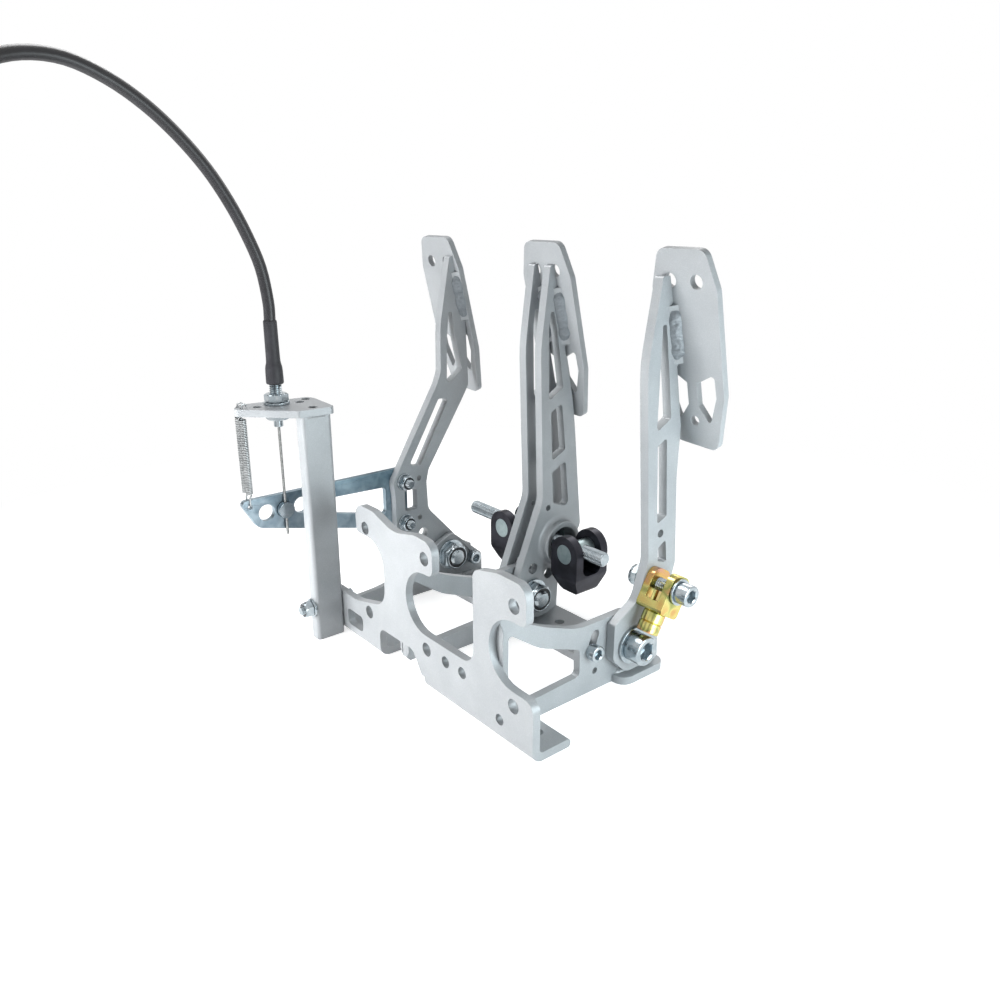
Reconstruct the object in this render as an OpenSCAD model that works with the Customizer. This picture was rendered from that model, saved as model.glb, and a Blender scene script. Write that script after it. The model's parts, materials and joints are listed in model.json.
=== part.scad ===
// Floor-mounted set of three racing pedals: clutch, brake with a balance bar, and
// a throttle that pulls a cable through a lever, on a laser-cut steel frame.
// X is the driver's right, Y is the front of the car, Z is up. The origin is on the
// floor, under the pivot axis, in the middle of the brake pedal.

/* [Frame] */
// Thickness of the front plate and its floor flange
plate_t = 5; // [4:0.5:6]
// Thickness of the three ribs
rib_t = 5; // [4:0.5:6]
// Thickness of the rear foot plate
foot_t = 5; // [4:0.5:5.2]
// Distance from the pivot axis to the back of the front plate
plate_y = 96; // [94:0.5:98]
// Height of the pivot axis above the floor
pivot_h = 24.8; // [24.6:0.1:27]
// Middle of the clutch rib, to the left of the brake
clutch_rib_x = 91; // [89:0.5:92]
// Middle of the throttle rib, to the right of the brake
throttle_rib_x = 85; // [84:0.5:86]
// Width of the floor flange, from the back of the front plate
flange_w = 22; // [18:1:28]

/* [Cylinder holes] */
// Distance between the two studs of a cylinder
stud_pitch = 57.15; // [56:0.05:58]
// Diameter of the stud holes
stud_hole_d = 8.4; // [8:0.1:9]
// Distance between the two brake cylinders
brake_pitch = 63.5; // [63:0.1:66]
// Distance from the brake to the clutch cylinder
clutch_cylinder_x = 110; // [109:0.5:111]

/* [Tower] */
// Middle of the tower tube, to the right of the brake
tower_x = 70; // [68:0.5:70]
// Width of the tower tube
tower_w = 10; // [9:0.5:11]
// Depth of the tower tube
tower_d = 20; // [18:0.5:21]
// Height of the tower tube
tower_h = 151; // [148:1:156]
// Wall of the tower tube
tower_wall = 2; // [1.5:0.25:2.5]
// Thickness of the plate on the tower
top_plate_t = 4.5; // [4:0.25:5]

/* [Pedals] */
// Thickness of the pedal arms
arm_t = 6; // [5:0.5:6]
// Thickness of the pads
pad_t = 4; // [4:0.5:5]
// Height of a pad along its face
pad_h = 113; // [100:1:116]
// Width of a pad
pad_w = 43; // [42:1:45]
// Backward lean of the pads, in degrees
pad_tilt = 13.5; // [13.5:0.5:15]
// Thickness of the throttle lever
lever_t = 4; // [3:0.5:4.5]

/* [Pivots] */
// Diameter of the pivot bolts
pivot_d = 12; // [11:0.5:12]
// Outside diameter of the pivot bushes
bush_d = 16; // [15:0.5:18]
// Gap between the clutch or throttle arm and its rib
arm_gap = 0.5; // [0.5:0.1:0.8]
// Gap between a brake arm and its rib
brake_gap = 1.75; // [1.5:0.25:2]

/* [Balance bar] */
// Diameter of the balance bar
bar_d = 9.5; // [9:0.25:10]
// Outside diameter of the balance tube
tube_d = 30; // [29:0.5:31]
// Inside diameter of the balance tube
tube_bore = 22; // [21.5:0.25:22.5]
// Length of the balance tube
tube_len = 33; // [30:0.5:33]
// Diameter of the trunnions in the balance clevises
trunnion_d = 13; // [12.5:0.25:14]
// Depth of the balance clevises, front to back
cheek_depth = 28; // [27:0.5:29]

/* [Clutch clevis] */
// Width of the clutch clevis
fork_w = 19; // [18:0.5:20]
// Width of the slot in the clutch clevis
fork_slot = 9.5; // [9:0.25:10]
// Diameter of the clevis bolt
clevis_bolt_d = 8; // [7.5:0.25:8]

/* [Cable] */
// Diameter of the throttle cable
cable_d = 7; // [6:0.5:7]
// Diameter of the inner wire
wire_d = 1.8; // [1.5:0.1:2]
// Outside diameter of the return springs
spring_d = 4.4; // [4.2:0.1:4.6]
// Wire of the return springs
spring_wire = 0.85; // [0.7:0.05:0.9]

/* [Hidden] */

$fn = 48;
STEEL = [0.72, 0.73, 0.74];
ZINC = [0.70, 0.75, 0.80];
YELLOW_ZINC = [0.80, 0.70, 0.33];
BLACK = [0.10, 0.10, 0.11];
BRONZE = [0.65, 0.50, 0.30];

// Clearances
running = 0.05;   // between a shaft and its bore, on the radius
apart = 0.3;      // between faces of pieces that move past each other
free_hole = 0.1;  // between a bolt and a hole that it only passes through
cut = 1;          // how far a cutting tool stands out of what it cuts

plate_front = plate_y + plate_t;
stud_mid_z = 56;
stud_z = [stud_mid_z - stud_pitch / 2, stud_mid_z + stud_pitch / 2];
flange_y = plate_y - flange_w;

// Foot plate
foot_back = -30;
foot_front = 9;
foot_left = -103;
foot_right = 90;
foot_hole_x = 23;
foot_hole_y = -14;
foot_hole_d = 6.6;

// Where each arm stands, from low X to high X
clutch_arm_x = -clutch_rib_x - rib_t / 2 - arm_gap - arm_t;
throttle_arm_x = throttle_rib_x + rib_t / 2 + arm_gap;
brake_left_x = rib_t / 2 + brake_gap;
brake_right_x = -brake_left_x - arm_t;

// Pads: the height of their lower edge above the pivot, and where it lies
pad_z = 117.2;
clutch_pad_y = -37.8;
brake_pad_y = -37.4;
throttle_pad_y = -33.9;
pad_off = 11;

// Fastener sizes
washer_t = 1.6;
pivot_head_d = 18;
pivot_head_h = 10.4;
pivot_nut_af = 18;
pivot_nut_h = 8;
pivot_washer_d = 23;
stop_d = 6;
stop_head_d = 10;
stop_head_h = 6;
m8_nut_af = 13;
m8_nut_h = 6.8;

// Stop bolts, as seen from the pivot
stop_r = 27.3;
stop_angle = 4.6;
throttle_stop = [-20, -7];

// Clutch clevis, as seen from the pivot
clevis_at = [-16, 36.7];
clevis_lean = 30;
fork_depth = 17;
fork_top = 9;
fork_len = 16.3;
lock_nut_h = 6.4;
adaptor_hex_h = 6.4;
pushrod_thread_d = 7;
adaptor_stem_d = 11;

// Balance bar, as seen from the pivot
bar_at = [-22, 33.7];
bar_right_end = -55;
bar_left_end = 80;
cheek_r = 12;
cheek_t = 6;
clevis_reach = 28;
ball_r = 8.4;
race_w = 12;

// Cable
cable_x = 92.3;
cable_y = 124;
boot_z = tower_h + top_plate_t + 12.7;
boot_top = boot_z + 38.8;
wire_top = tower_h - 10;
adjuster_d = 8;
nose_d = 5.8;

// Springs
spring_y = 147;
spring_mid_x = throttle_arm_x + arm_t + lever_t / 2;
spring_off = 2.7;
spring_bottom = 100.5;
spring_top = tower_h - 2.5;
spring_curls = round((spring_top - spring_bottom) * 0.75);

// Throttle lever, as seen from the pivot
lever_bolt_y = 35.2;
lever_bolt_z = [32.2, 62.7];
lever_x = throttle_arm_x + arm_t;
clamp_z = 60.6;
clamp_d = 10.6;
spring_hole_z = 66.7;
spring_hole_d = 3;

// The free stretch of the cable, from the boot to the coil on the floor in front
cable_shape = [
    [92.3, 124, 207], [92.3, 124, 218], [92.3, 127, 238], [92.3, 134, 257],
    [92, 143, 275], [91.5, 154, 292], [90.5, 168, 308], [89, 184, 322],
    [86.5, 202, 333], [83, 222, 340], [79, 242, 340], [75, 260, 334],
    [71, 276, 322], [67, 289, 307], [63, 299, 290], [60, 306, 272],
    [57, 312, 253], [55, 316, 233], [53, 319, 213], [52, 321, 193],
    [51, 323, 173], [50, 325, 153], [50, 327, 133], [50, 328, 113],
    [50, 329, 94], [50, 330, 76], [51, 331, 58], [55, 332, 40],
    [64, 332, 24], [78, 332, 11.5], [95, 332, 5], [113, 332, 3.5]];
// The arch rises with the boot, and its foot stays on the floor
cable_lift = boot_top - cable_shape[0].z;
cable_route = [for (p = cable_shape)
    [p.x, p.y, p.z + cable_lift * min(1, (p.z - cable_d / 2) / (cable_shape[0].z - cable_d / 2))]];
coil_first_r = 42.5;
coil_pitch = 7.5;
coil_turns = 2.5;
turn_back = 1.5;
coil_rings = 24;
sleeve_len = 22;

// Geometry helpers

function unit(v) = v / norm(v);
function xy(p) = [p.x, p.y];
function cross2(a, b) = a.x * b.y - a.y * b.x;

// The points of one corner: [x, y, r] between its neighbours, as an arc of radius r
function corner(a, b, c) =
    let (p = xy(b), u = unit(xy(a) - p), v = unit(xy(c) - p),
        half = acos(u * v) / 2, sweep = (180 - 2 * half) * sign(cross2(-u, v)))
    b.z == 0 || abs(sweep) < 1 ? [p] :
    let (mid = p + unit(u + v) * b.z / sin(half),
        start = p + u * b.z / tan(half) - mid,
        from = atan2(start.y, start.x), steps = ceil(abs(sweep) / 15) + 1)
    [for (i = [0:steps]) mid + b.z * [cos(from + sweep * i / steps), sin(from + sweep * i / steps)]];

// An outline of [x, y, radius] corners
function rounded(pts) =
    let (n = len(pts))
    [for (i = [0:n - 1]) each corner(pts[(i + n - 1) % n], pts[i], pts[(i + 1) % n])];

// A plate square to X, Y or Z, from its outline in the other two axes
module plate_x(x, t, pts) translate([x, 0, 0]) rotate([90, 0, 90])
    linear_extrude(t) polygon(rounded(pts));
module plate_y(y, t, pts) translate([0, y + t, 0]) rotate([90, 0, 0])
    linear_extrude(t) polygon(rounded(pts));
module plate_z(z, t, pts) translate([0, 0, z]) linear_extrude(t) polygon(rounded(pts));

// A round bar along X, Y or Z
module bar_x(x0, x1, y, z, d) translate([x0, y, z]) rotate([0, 90, 0]) cylinder(d = d, h = x1 - x0);
module bar_y(y0, y1, x, z, d) translate([x, y0, z]) rotate([-90, 0, 0]) cylinder(d = d, h = y1 - y0);
module bar_z(z0, z1, x, y, d) translate([x, y, z0]) cylinder(d = d, h = z1 - z0);

// A hexagonal nut on Z, its corners turned down at both ends
module nut(af, h, bore) {
    turned = 0.9;
    wide = af / cos(30);
    difference() {
        intersection() {
            cylinder(d = wide, h = h, $fn = 6);
            union() {
                cylinder(d1 = wide - 2 * turned, d2 = wide, h = turned);
                translate([0, 0, turned]) cylinder(d = wide, h = h - 2 * turned);
                translate([0, 0, h - turned]) cylinder(d1 = wide, d2 = wide - 2 * turned, h = turned);
            }
        }
        translate([0, 0, -cut]) cylinder(d = bore, h = h + 2 * cut);
    }
}

// A washer on Z
module washer(d, bore, t) difference() {
    cylinder(d = d, h = t);
    translate([0, 0, -cut]) cylinder(d = bore, h = t + 2 * cut);
}

// A socket-head screw: the head stands on Z from 0 up, the shank runs down
module socket_screw(d, head_d, head_h, shank) {
    chamfer = 0.6;
    key = head_d * 0.55;
    difference() {
        union() {
            cylinder(d = head_d, h = head_h - chamfer);
            translate([0, 0, head_h - chamfer]) cylinder(d1 = head_d, d2 = head_d - 2 * chamfer, h = chamfer);
        }
        translate([0, 0, head_h * 0.45]) cylinder(d = key / cos(30), h = head_h, $fn = 6);
    }
    translate([0, 0, -shank + chamfer]) cylinder(d = d, h = shank - chamfer);
    translate([0, 0, -shank]) cylinder(d1 = d - 2 * chamfer, d2 = d, h = chamfer);
}

// Turns Z to point along +X or -X, from the point (x, y, z)
module along_x(x, y, z, way = 1) translate([x, y, z]) rotate([0, 90 * way, 0]) children();

// The two ring directions of each point of a route, carried along it without a twist
function directions(pts) = [for (i = [0:len(pts) - 1])
    unit(pts[min(i + 1, len(pts) - 1)] - pts[max(i - 1, 0)])];
function carried(n, t) = unit(n - (n * t) * t);
function normals(ts, first) =
    [for (i = 0, n = carried(first, ts[0]); i < len(ts);
        i = i + 1, n = i < len(ts) ? carried(n, ts[i]) : n) n];

// A tube swept along a route, as one closed skin
module swept(pts, r, sides, first) {
    ts = directions(pts);
    ns = normals(ts, first);
    last = len(pts) - 1;
    ring = [for (i = [0:last], k = [0:sides - 1])
        pts[i] + r * (cos(360 * k / sides) * ns[i] + sin(360 * k / sides) * cross(ts[i], ns[i]))];
    skin = [for (i = [0:last - 1], k = [0:sides - 1])
        let (a = i * sides + k, b = i * sides + (k + 1) % sides)
        each [[a, a + sides, b], [b, a + sides, b + sides]]];
    ends = [for (k = [1:sides - 2]) each [[0, k, k + 1],
        [last * sides, last * sides + k + 1, last * sides + k]]];
    polyhedron(ring, concat(skin, ends));
}

// Frame

ARCH_R = 19.4;
plate_outline = [
    [-125.5, plate_t + 3, 0], [-125.5, 35.5, 6.5], [-89.8, 36.4, ARCH_R], [-89.8, 75.7, ARCH_R],
    [-119.4, 75.7, 4], [-119.4, 97.9, 8], [-97, 98.2, 25], [-76.5, 93.6, 6],
    [-76.5, 36.2, 10], [-11.5, 36.2, ARCH_R], [-11.5, 75.2, ARCH_R], [-39.6, 75.2, 5],
    [-39.6, 95.6, 8], [-22, 96.1, 15], [0, 91, 30], [22, 98.2, 12], [43.3, 98.2, 8],
    [42, 79.7, 2], [12.2, 79.7, 17], [12.2, 39, 14], [47, 30.2, 25], [91.5, 30, 4],
    [91.5, plate_t + 3, 0], [20.3, plate_t + 3, 0], [20.3, 21, 6], [-17, 21.3, 6],
    [-25.6, plate_t + 3, 0]];
fold_r = 7;
fold_in = 2.5;
flange_fold = [[flange_y, 0, 2], [plate_front, 0, fold_r], [plate_front, plate_t + 3, 0],
    [plate_y, plate_t + 3, 0], [plate_y, plate_t, fold_in], [flange_y, plate_t, 2]];

module front_plate() color(STEEL) difference() {
    union() {
        plate_y(plate_y, plate_t, plate_outline);
        plate_x(-125.5, 96.9, flange_fold);
        plate_x(20.3, 71.2, flange_fold);
    }
    for (x = [-clutch_cylinder_x, -brake_pitch / 2, brake_pitch / 2], z = stud_z)
        bar_y(plate_y - cut, plate_front + cut, x, z, stud_hole_d);
    for (x = [-66, -50.4]) bar_y(plate_y - cut, plate_front + cut, x, 27.3, 7);
    bar_y(plate_y - cut, plate_front + cut, -98.8, 14, 6.5);
    bar_y(plate_y - cut, plate_front + cut, tower_x, tower_bolt_z, tower_bolt_d + 2 * free_hole);
    plate_y(plate_y - cut, plate_t + 2 * cut, [[41, 9, 3], [60, 9, 3], [60, 20, 3], [41, 20, 3]]);
    for (x = [-clutch_cylinder_x, 52]) bar_z(-cut, plate_t + cut, x, flange_hole_y, foot_hole_d);
}
flange_hole_y = plate_y - 12;
tower_bolt_z = 22.5;
tower_bolt_d = 6;
tower_nut_af = 10;
tower_nut_h = 5.6;
tower_washer_d = 12.5;

// The clutch and brake ribs share this outline and window
rib_outline = [
    [plate_y - fold_in, plate_t, 0], [plate_y, plate_t + fold_in, 0], [plate_y, 70, 0], [64.5, 54.6, 45], [38, 44.6, 45],
    [-3, pivot_h + 20, 12], [foot_back, pivot_h - 6.8, 5], [foot_back, foot_t, 0],
    [foot_front, foot_t, 0], [foot_front, 0, 0], [flange_y, 0, 0], [flange_y, plate_t, 0]];
rib_window = [[90.5, 11.5, 3], [90.5, 58.6, 2], [68, 42.8, 40], [37, 31.2, 3], [36.5, 13.8, 3]];
throttle_rib_outline = [
    [plate_y - fold_in, plate_t, 0], [plate_y, plate_t + fold_in, 0], [plate_y, 12.5, 0], [62, 14.5, 60], [30, 22, 30],
    [9, 36.5, 8], [-2.5, pivot_h + 16.5, 7], [foot_back, pivot_h - 6.8, 5], [foot_back, foot_t, 0],
    [foot_front, foot_t, 0], [foot_front, 0, 0], [flange_y, 0, 0], [flange_y, plate_t, 0]];

module pedal_rib(x, outline) difference() {
    plate_x(x - rib_t / 2, rib_t, outline);
    bar_x(x - rib_t, x + rib_t, 0, pivot_h, pivot_d + 2 * free_hole);
    children();
}

module brake_rib() color(STEEL) pedal_rib(0, rib_outline)
    plate_x(-rib_t, 2 * rib_t, rib_window);

// The slot lets the stop bolt slide round the pivot to set the clutch's travel
module clutch_rib() color(STEEL) pedal_rib(-clutch_rib_x, rib_outline) {
    plate_x(-clutch_rib_x - rib_t, 2 * rib_t, rib_window);
    along_x(-clutch_rib_x - rib_t, 0, pivot_h) {
        slot_w = stop_d + 4 * free_hole;
        rotate([0, 0, 92]) rotate_extrude(angle = 24)
            translate([stop_r - slot_w / 2, 0]) square([slot_w, 2 * rib_t]);
        for (a = [92, 116]) rotate([0, 0, a]) translate([stop_r, 0, 0])
            cylinder(d = slot_w - 0.1, h = 2 * rib_t);
    }
    bar_x(-clutch_rib_x - rib_t, -clutch_rib_x + rib_t, 24, 13, 4);
}

module throttle_rib() color(STEEL) pedal_rib(throttle_rib_x, throttle_rib_outline)
    bar_x(throttle_rib_x - rib_t, throttle_rib_x + rib_t,
        throttle_stop.x, pivot_h + throttle_stop.y, stop_d + 2 * free_hole);

module rear_foot_plate() color(STEEL) difference() {
    plate_z(0, foot_t, [[foot_left, foot_back, 8], [foot_right, foot_back, 8],
        [foot_right, foot_front, 3], [foot_left, foot_front, 8]]);
    for (x = [-foot_hole_x, foot_hole_x]) bar_z(-cut, foot_t + cut, x, foot_hole_y, foot_hole_d);
}

// Tower

function box_corners(x, y, w, d, r) =
    [[x, y, r], [x + w, y, r], [x + w, y + d, r], [x, y + d, r]];
tower_left = tower_x - tower_w / 2;

module tower_tube() color(STEEL) difference() {
    plate_z(0, tower_h, box_corners(tower_left, plate_front, tower_w, tower_d, 2.5));
    plate_z(-cut, tower_h + 2 * cut, box_corners(tower_left + tower_wall, plate_front + tower_wall,
        tower_w - 2 * tower_wall, tower_d - 2 * tower_wall, 1));
    bar_y(plate_front - cut, plate_front + tower_d + cut, tower_x, tower_bolt_z,
        tower_bolt_d + 2 * free_hole);
}

module tower_top_plate() color(STEEL) difference() {
    plate_z(tower_h, top_plate_t, [[63, 99.5, 3], [93, 97.8, 4], [98.5, 99.5, 3], [104.3, 145, 4],
        [93.5, 152, 4], [82, 140, 5], [64.5, 123, 3]]);
    bar_z(tower_h - cut, tower_h + top_plate_t + cut, cable_x, cable_y, adjuster_d + 2 * free_hole);
    for (side = [-1, 1]) bar_z(tower_h - cut, tower_h + top_plate_t + cut,
        spring_mid_x + side * spring_off, spring_y, 2.4);
    for (p = [[91, 137.5], [88, 110.5], [93.5, 103.5], [69.5, 111]])
        bar_z(tower_h - cut, tower_h + top_plate_t + cut, p.x, p.y, 5.6);
}

// The bolt's head is behind the front plate and its nut in front of the tube
module tower_bolt() color(ZINC) {
    head_h = 4;
    front = plate_front + tower_d + washer_t + tower_nut_h + 2;
    translate([tower_x, plate_y, tower_bolt_z]) rotate([90, 0, 0]) nut(tower_nut_af, head_h, 3);
    bar_y(plate_y - head_h, front, tower_x, tower_bolt_z, tower_bolt_d);
}

module tower_nut() color(ZINC) translate([tower_x, plate_front + tower_d, tower_bolt_z])
    rotate([-90, 0, 0]) {
        washer(tower_washer_d, tower_bolt_d + 2 * running, washer_t);
        translate([0, 0, washer_t]) nut(tower_nut_af, tower_nut_h, tower_bolt_d + 2 * running);
    }

// Pivot bolts: each row holds the X of the head's seat, the way that the head points,
// and the distance from there to the seat of the nut
clutch_seat = clutch_arm_x - apart - 2 * running;
brake_seat = brake_left_x + arm_t + apart + 2 * running;
throttle_seat = throttle_arm_x + arm_t + apart + 2 * running;
pivots = [
    [clutch_seat, -1, -clutch_rib_x + rib_t / 2 - clutch_seat],
    [brake_seat, 1, 2 * brake_seat],
    [throttle_seat, 1, throttle_seat - throttle_rib_x + rib_t / 2]];

module pivot_bolts() color(ZINC) for (p = pivots)
    along_x(p[0] + p[1] * washer_t, 0, pivot_h, p[1])
        socket_screw(pivot_d, pivot_head_d, pivot_head_h, p[2] + 2 * washer_t + pivot_nut_h + 1.5);

module pivot_nuts() color(ZINC) for (p = pivots)
    along_x(p[0] - p[1] * (p[2] + washer_t), 0, pivot_h, -p[1])
        nut(pivot_nut_af, pivot_nut_h, pivot_d + 2 * running);

module pivot_washers() color(ZINC) for (p = pivots) {
    along_x(p[0], 0, pivot_h, p[1]) washer(pivot_washer_d, pivot_d + 2 * running, washer_t);
    along_x(p[0] - p[1] * p[2], 0, pivot_h, -p[1])
        washer(pivot_washer_d, pivot_d + 2 * running, washer_t);
}

// Stop bolts: the clutch's stands in the slot, its head in the arm's way; the
// throttle's shank stands under the heel of the throttle arm
stop_nut_h = 5;
clutch_stop_at = [stop_r * cos(stop_angle), pivot_h + stop_r * sin(stop_angle)];
throttle_stop_at = [throttle_stop.x, pivot_h + throttle_stop.y];

module stop_bolts() color(ZINC) {
    along_x(-clutch_rib_x - rib_t / 2, clutch_stop_at.x, clutch_stop_at.y, -1)
        socket_screw(stop_d, stop_head_d, stop_head_h, rib_t + stop_nut_h + 2);
    along_x(throttle_rib_x - rib_t / 2, throttle_stop_at.x, throttle_stop_at.y, -1)
        socket_screw(stop_d, stop_head_d, stop_head_h, rib_t + arm_gap + arm_t);
}

module stop_nuts() color(ZINC)
    along_x(-clutch_rib_x + rib_t / 2, clutch_stop_at.x, clutch_stop_at.y)
        nut(10, stop_nut_h, stop_d + 2 * running);

// Cable adjuster and cable

adjuster_nut_h = 5;
adjuster_top = tower_h + top_plate_t;

module cable_adjuster() color(ZINC) difference() {
    union() {
        bar_z(wire_top, boot_z + 8, cable_x, cable_y, nose_d);
        bar_z(tower_h - 6, boot_z, cable_x, cable_y, adjuster_d);
    }
    bar_z(wire_top - cut, boot_z + 8 + cut, cable_x, cable_y, wire_d + 0.8);
}

module adjuster_nuts() color(ZINC) {
    translate([cable_x, cable_y, tower_h - 3.5]) nut(m8_nut_af, 3.5, adjuster_d + 2 * running);
    translate([cable_x, cable_y, adjuster_top + washer_t])
        nut(m8_nut_af, adjuster_nut_h, adjuster_d + 2 * running);
}

module adjuster_washer() color(ZINC) translate([cable_x, cable_y, adjuster_top])
    washer(16, adjuster_d + 2 * running, washer_t);

module cable_boot() color(BLACK) translate([cable_x, cable_y, 0]) difference() {
    rotate_extrude() polygon([[0, boot_z], [5.1, boot_z], [5.4, boot_z + 1], [5.2, boot_z + 10.5],
        [4.3, boot_z + 14], [4.1, boot_top - 0.6], [3.8, boot_top], [0, boot_top]]);
    translate([0, 0, boot_z - cut]) cylinder(d = nose_d + 2 * running, h = 8 + cut);
}

module throttle_cable() color(BLACK) swept(cable_route, cable_d / 2, 10, [1, 0, 0]);

// The coil spirals in on the floor and out again one layer up. It starts on its
// centre's -Y side, a cable's width past the free stretch, and turns to the left.
coil_start = cable_route[len(cable_route) - 1];
coil_centre = coil_start + [cable_d, coil_first_r, 0];
function coil_r(t) = coil_first_r - coil_pitch * (t < turn_back ? t : 2 * turn_back - t);
function climb(t) = let (s = min(max((t - turn_back + 0.25) / 0.5, 0), 1)) s * s * (3 - 2 * s);
function coil_point(t) = [coil_centre.x + coil_r(t) * sin(360 * t),
    coil_centre.y - coil_r(t) * cos(360 * t), coil_start.z + coil_pitch * climb(t)];
coil_steps = round(coil_turns * coil_rings);
coil_loops = [for (i = [0:coil_steps]) coil_point(i * coil_turns / coil_steps)];
coil_end = coil_loops[coil_steps];
coil_way = unit(coil_end - coil_loops[coil_steps - 1]);
coil_tip = coil_end + cable_d * coil_way;
coil_full = concat([coil_start], coil_loops, [coil_tip]);

// The least gap between turns, measured on the coil's points a quarter turn or more apart
coil_gap = min([for (i = [0:len(coil_full) - 1], j = [i + coil_rings / 4:1:len(coil_full) - 1])
    norm(coil_full[i] - coil_full[j])]) - cable_d;

module throttle_cable_coil() color(BLACK) {
    swept(coil_full, cable_d / 2, 6, [0, 0, 1]);
    echo(coil_gap = coil_gap);
}

// Lays children, made along Z, on the end of the coil
module at_coil_end(along) translate(coil_tip + along * coil_way)
    rotate([0, 90, atan2(coil_way.y, coil_way.x)]) children();

module cable_end_sleeve() color(ZINC) at_coil_end(0) difference() {
    union() {
        cylinder(d = cable_d + 0.2, h = sleeve_len / 2);
        translate([0, 0, sleeve_len / 2]) cylinder(d = nose_d, h = sleeve_len / 2);
    }
    translate([0, 0, sleeve_len / 2]) cylinder(d = wire_d + 2 * running, h = sleeve_len);
}

module cable_end_wire() color(ZINC) at_coil_end(sleeve_len / 2) {
    cylinder(d = wire_d, h = sleeve_len / 2 + 12);
    translate([0, 0, sleeve_len / 2 + 12]) cylinder(d = 6, h = 6);
}

module inner_wire() color(ZINC)
    bar_z(pivot_h + clamp_z + clamp_d / 2, wire_top, cable_x, cable_y, wire_d);

// Return springs: close-wound extension springs, one on each side of the lever
spring_r = (spring_d - spring_wire) / 2;
spring_pitch = (spring_top - spring_bottom) / spring_curls;
spring_points = [for (i = [0:8 * spring_curls])
    [spring_r * cos(45 * i), spring_r * sin(45 * i), spring_bottom + spring_pitch * i / 8]];
spring_gap = min([for (i = [0:7], j = [i + 4:i + 16])
    norm(spring_points[i] - spring_points[j])]) - spring_wire;

module return_springs() color(ZINC) {
    for (side = [-1, 1]) translate([spring_mid_x + side * spring_off, spring_y, 0])
        swept(spring_points, spring_wire / 2, 6, [0, 0, 1]);
    echo(spring_gap = spring_gap);
}

// A hook leads from the end of a spring to its axis and turns through the hole
hook_lead = [[spring_r + 0.01, -0.03, 0], [spring_r + 0.14, -0.33, -0.04],
    [spring_r, -spring_wire, -0.15], [spring_r - 0.4, -1.5, -0.4],
    [0.7, -1.4, -1.3], [0.15, -0.6, -2.2], [0, 0, -3.2]];

module upper_spring_hooks() color(ZINC) {
    over = tower_h + top_plate_t + 1.2 - spring_top;
    for (side = [-1, 1]) translate([spring_mid_x + side * spring_off, spring_y, spring_top])
        swept(concat([for (p = hook_lead) [p.x, -p.y, -p.z]],
            [[0, 0, over], [0, -0.5, over + 0.9], [0, -1.5, over + 1.2], [0, -2.8, over + 0.9],
            [0, -3.5, over - 0.4]]), spring_wire / 2, 6, [0, 0, 1]);
}

module lower_spring_hooks() color(ZINC) {
    down = pivot_h + spring_hole_z + spring_hole_d / 2 - spring_wire / 2 - 0.1 - spring_bottom;
    for (side = [-1, 1]) translate([spring_mid_x + side * spring_off, spring_y, spring_bottom])
        swept(concat(hook_lead, [[0, 0, down + 1], [-side * 0.3, 0, down + 0.25],
            [-side * 1, 0, down], [-side * (spring_off - 0.1), 0, down]]), spring_wire / 2, 6, [0, 0, 1]);
}

// Pedals, all in a frame with its origin on the pivot axis

module pedal() translate([0, 0, pivot_h]) children();

// The pad's front face at height z above the pivot
function pad_face(y, z) = y + (z - pad_z) * tan(pad_tilt);

pad_outline = [[-15.4, pad_h, 6], [-pad_w / 2, pad_h - 21, 10], [-pad_w / 2, 33.7, 10], [-14.3, 0, 5],
    [14.3, 2, 5], [pad_w / 2, 33.7, 10], [pad_w / 2, pad_h - 21, 10], [15.4, pad_h, 6]];
pad_window = [[3.3, 39, 1], [15.7, 46, 2], [16.2, 32.5, 3], [10.8, 15.3, 1.5], [3.3, 26, 1]];
weld = 3.5;

// A pad at x, with a weld on each side of every arm in arms
module foot_pad(x, y, arms, weld_from, weld_to) pedal() translate([x, y, pad_z]) rotate([-pad_tilt, 0, 0]) {
    difference() {
        plate_y(-pad_t, pad_t, pad_outline);
        for (side = [-1, 1]) {
            plate_y(-pad_t - cut, pad_t + 2 * cut, [for (p = pad_window) [side * p.x, p.y, p.z]]);
            bar_y(-pad_t - cut, cut, side * 8.7, pad_h - 17, 8);
        }
        bar_y(-pad_t - cut, cut, 0, 16.4, 6);
    }
    for (a = arms, side = [0, 1]) translate([a - x + side * arm_t, 0, weld_from])
        linear_extrude(weld_to - weld_from) polygon([[0, 0], [(side * 2 - 1) * weld, 0], [0, weld]]);
}

module bush_hole(x) bar_x(x - cut, x + arm_t + cut, 0, 0, bush_d);

// An arm: its outline less its windows, each a list of corners, and its round holes [y, z, d]
module arm(x, outline, windows, holes) pedal() difference() {
    plate_x(x, arm_t, outline);
    for (w = windows) plate_x(x - cut, arm_t + 2 * cut, w);
    for (h = holes) bar_x(x - cut, x + arm_t + cut, h.x, h.y, h.z);
    bush_hole(x);
}

// Back edge of an arm: on the pad from the top down to weld_z, then clear of it
function on_pad(y, top, weld_z, low, off) = [[pad_face(y, top), top, 0], [pad_face(y, weld_z), weld_z, 0],
    [pad_face(y, weld_z) + 1, weld_z - 1.5, 0], [pad_face(y, low) + off, low, 10]];

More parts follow.
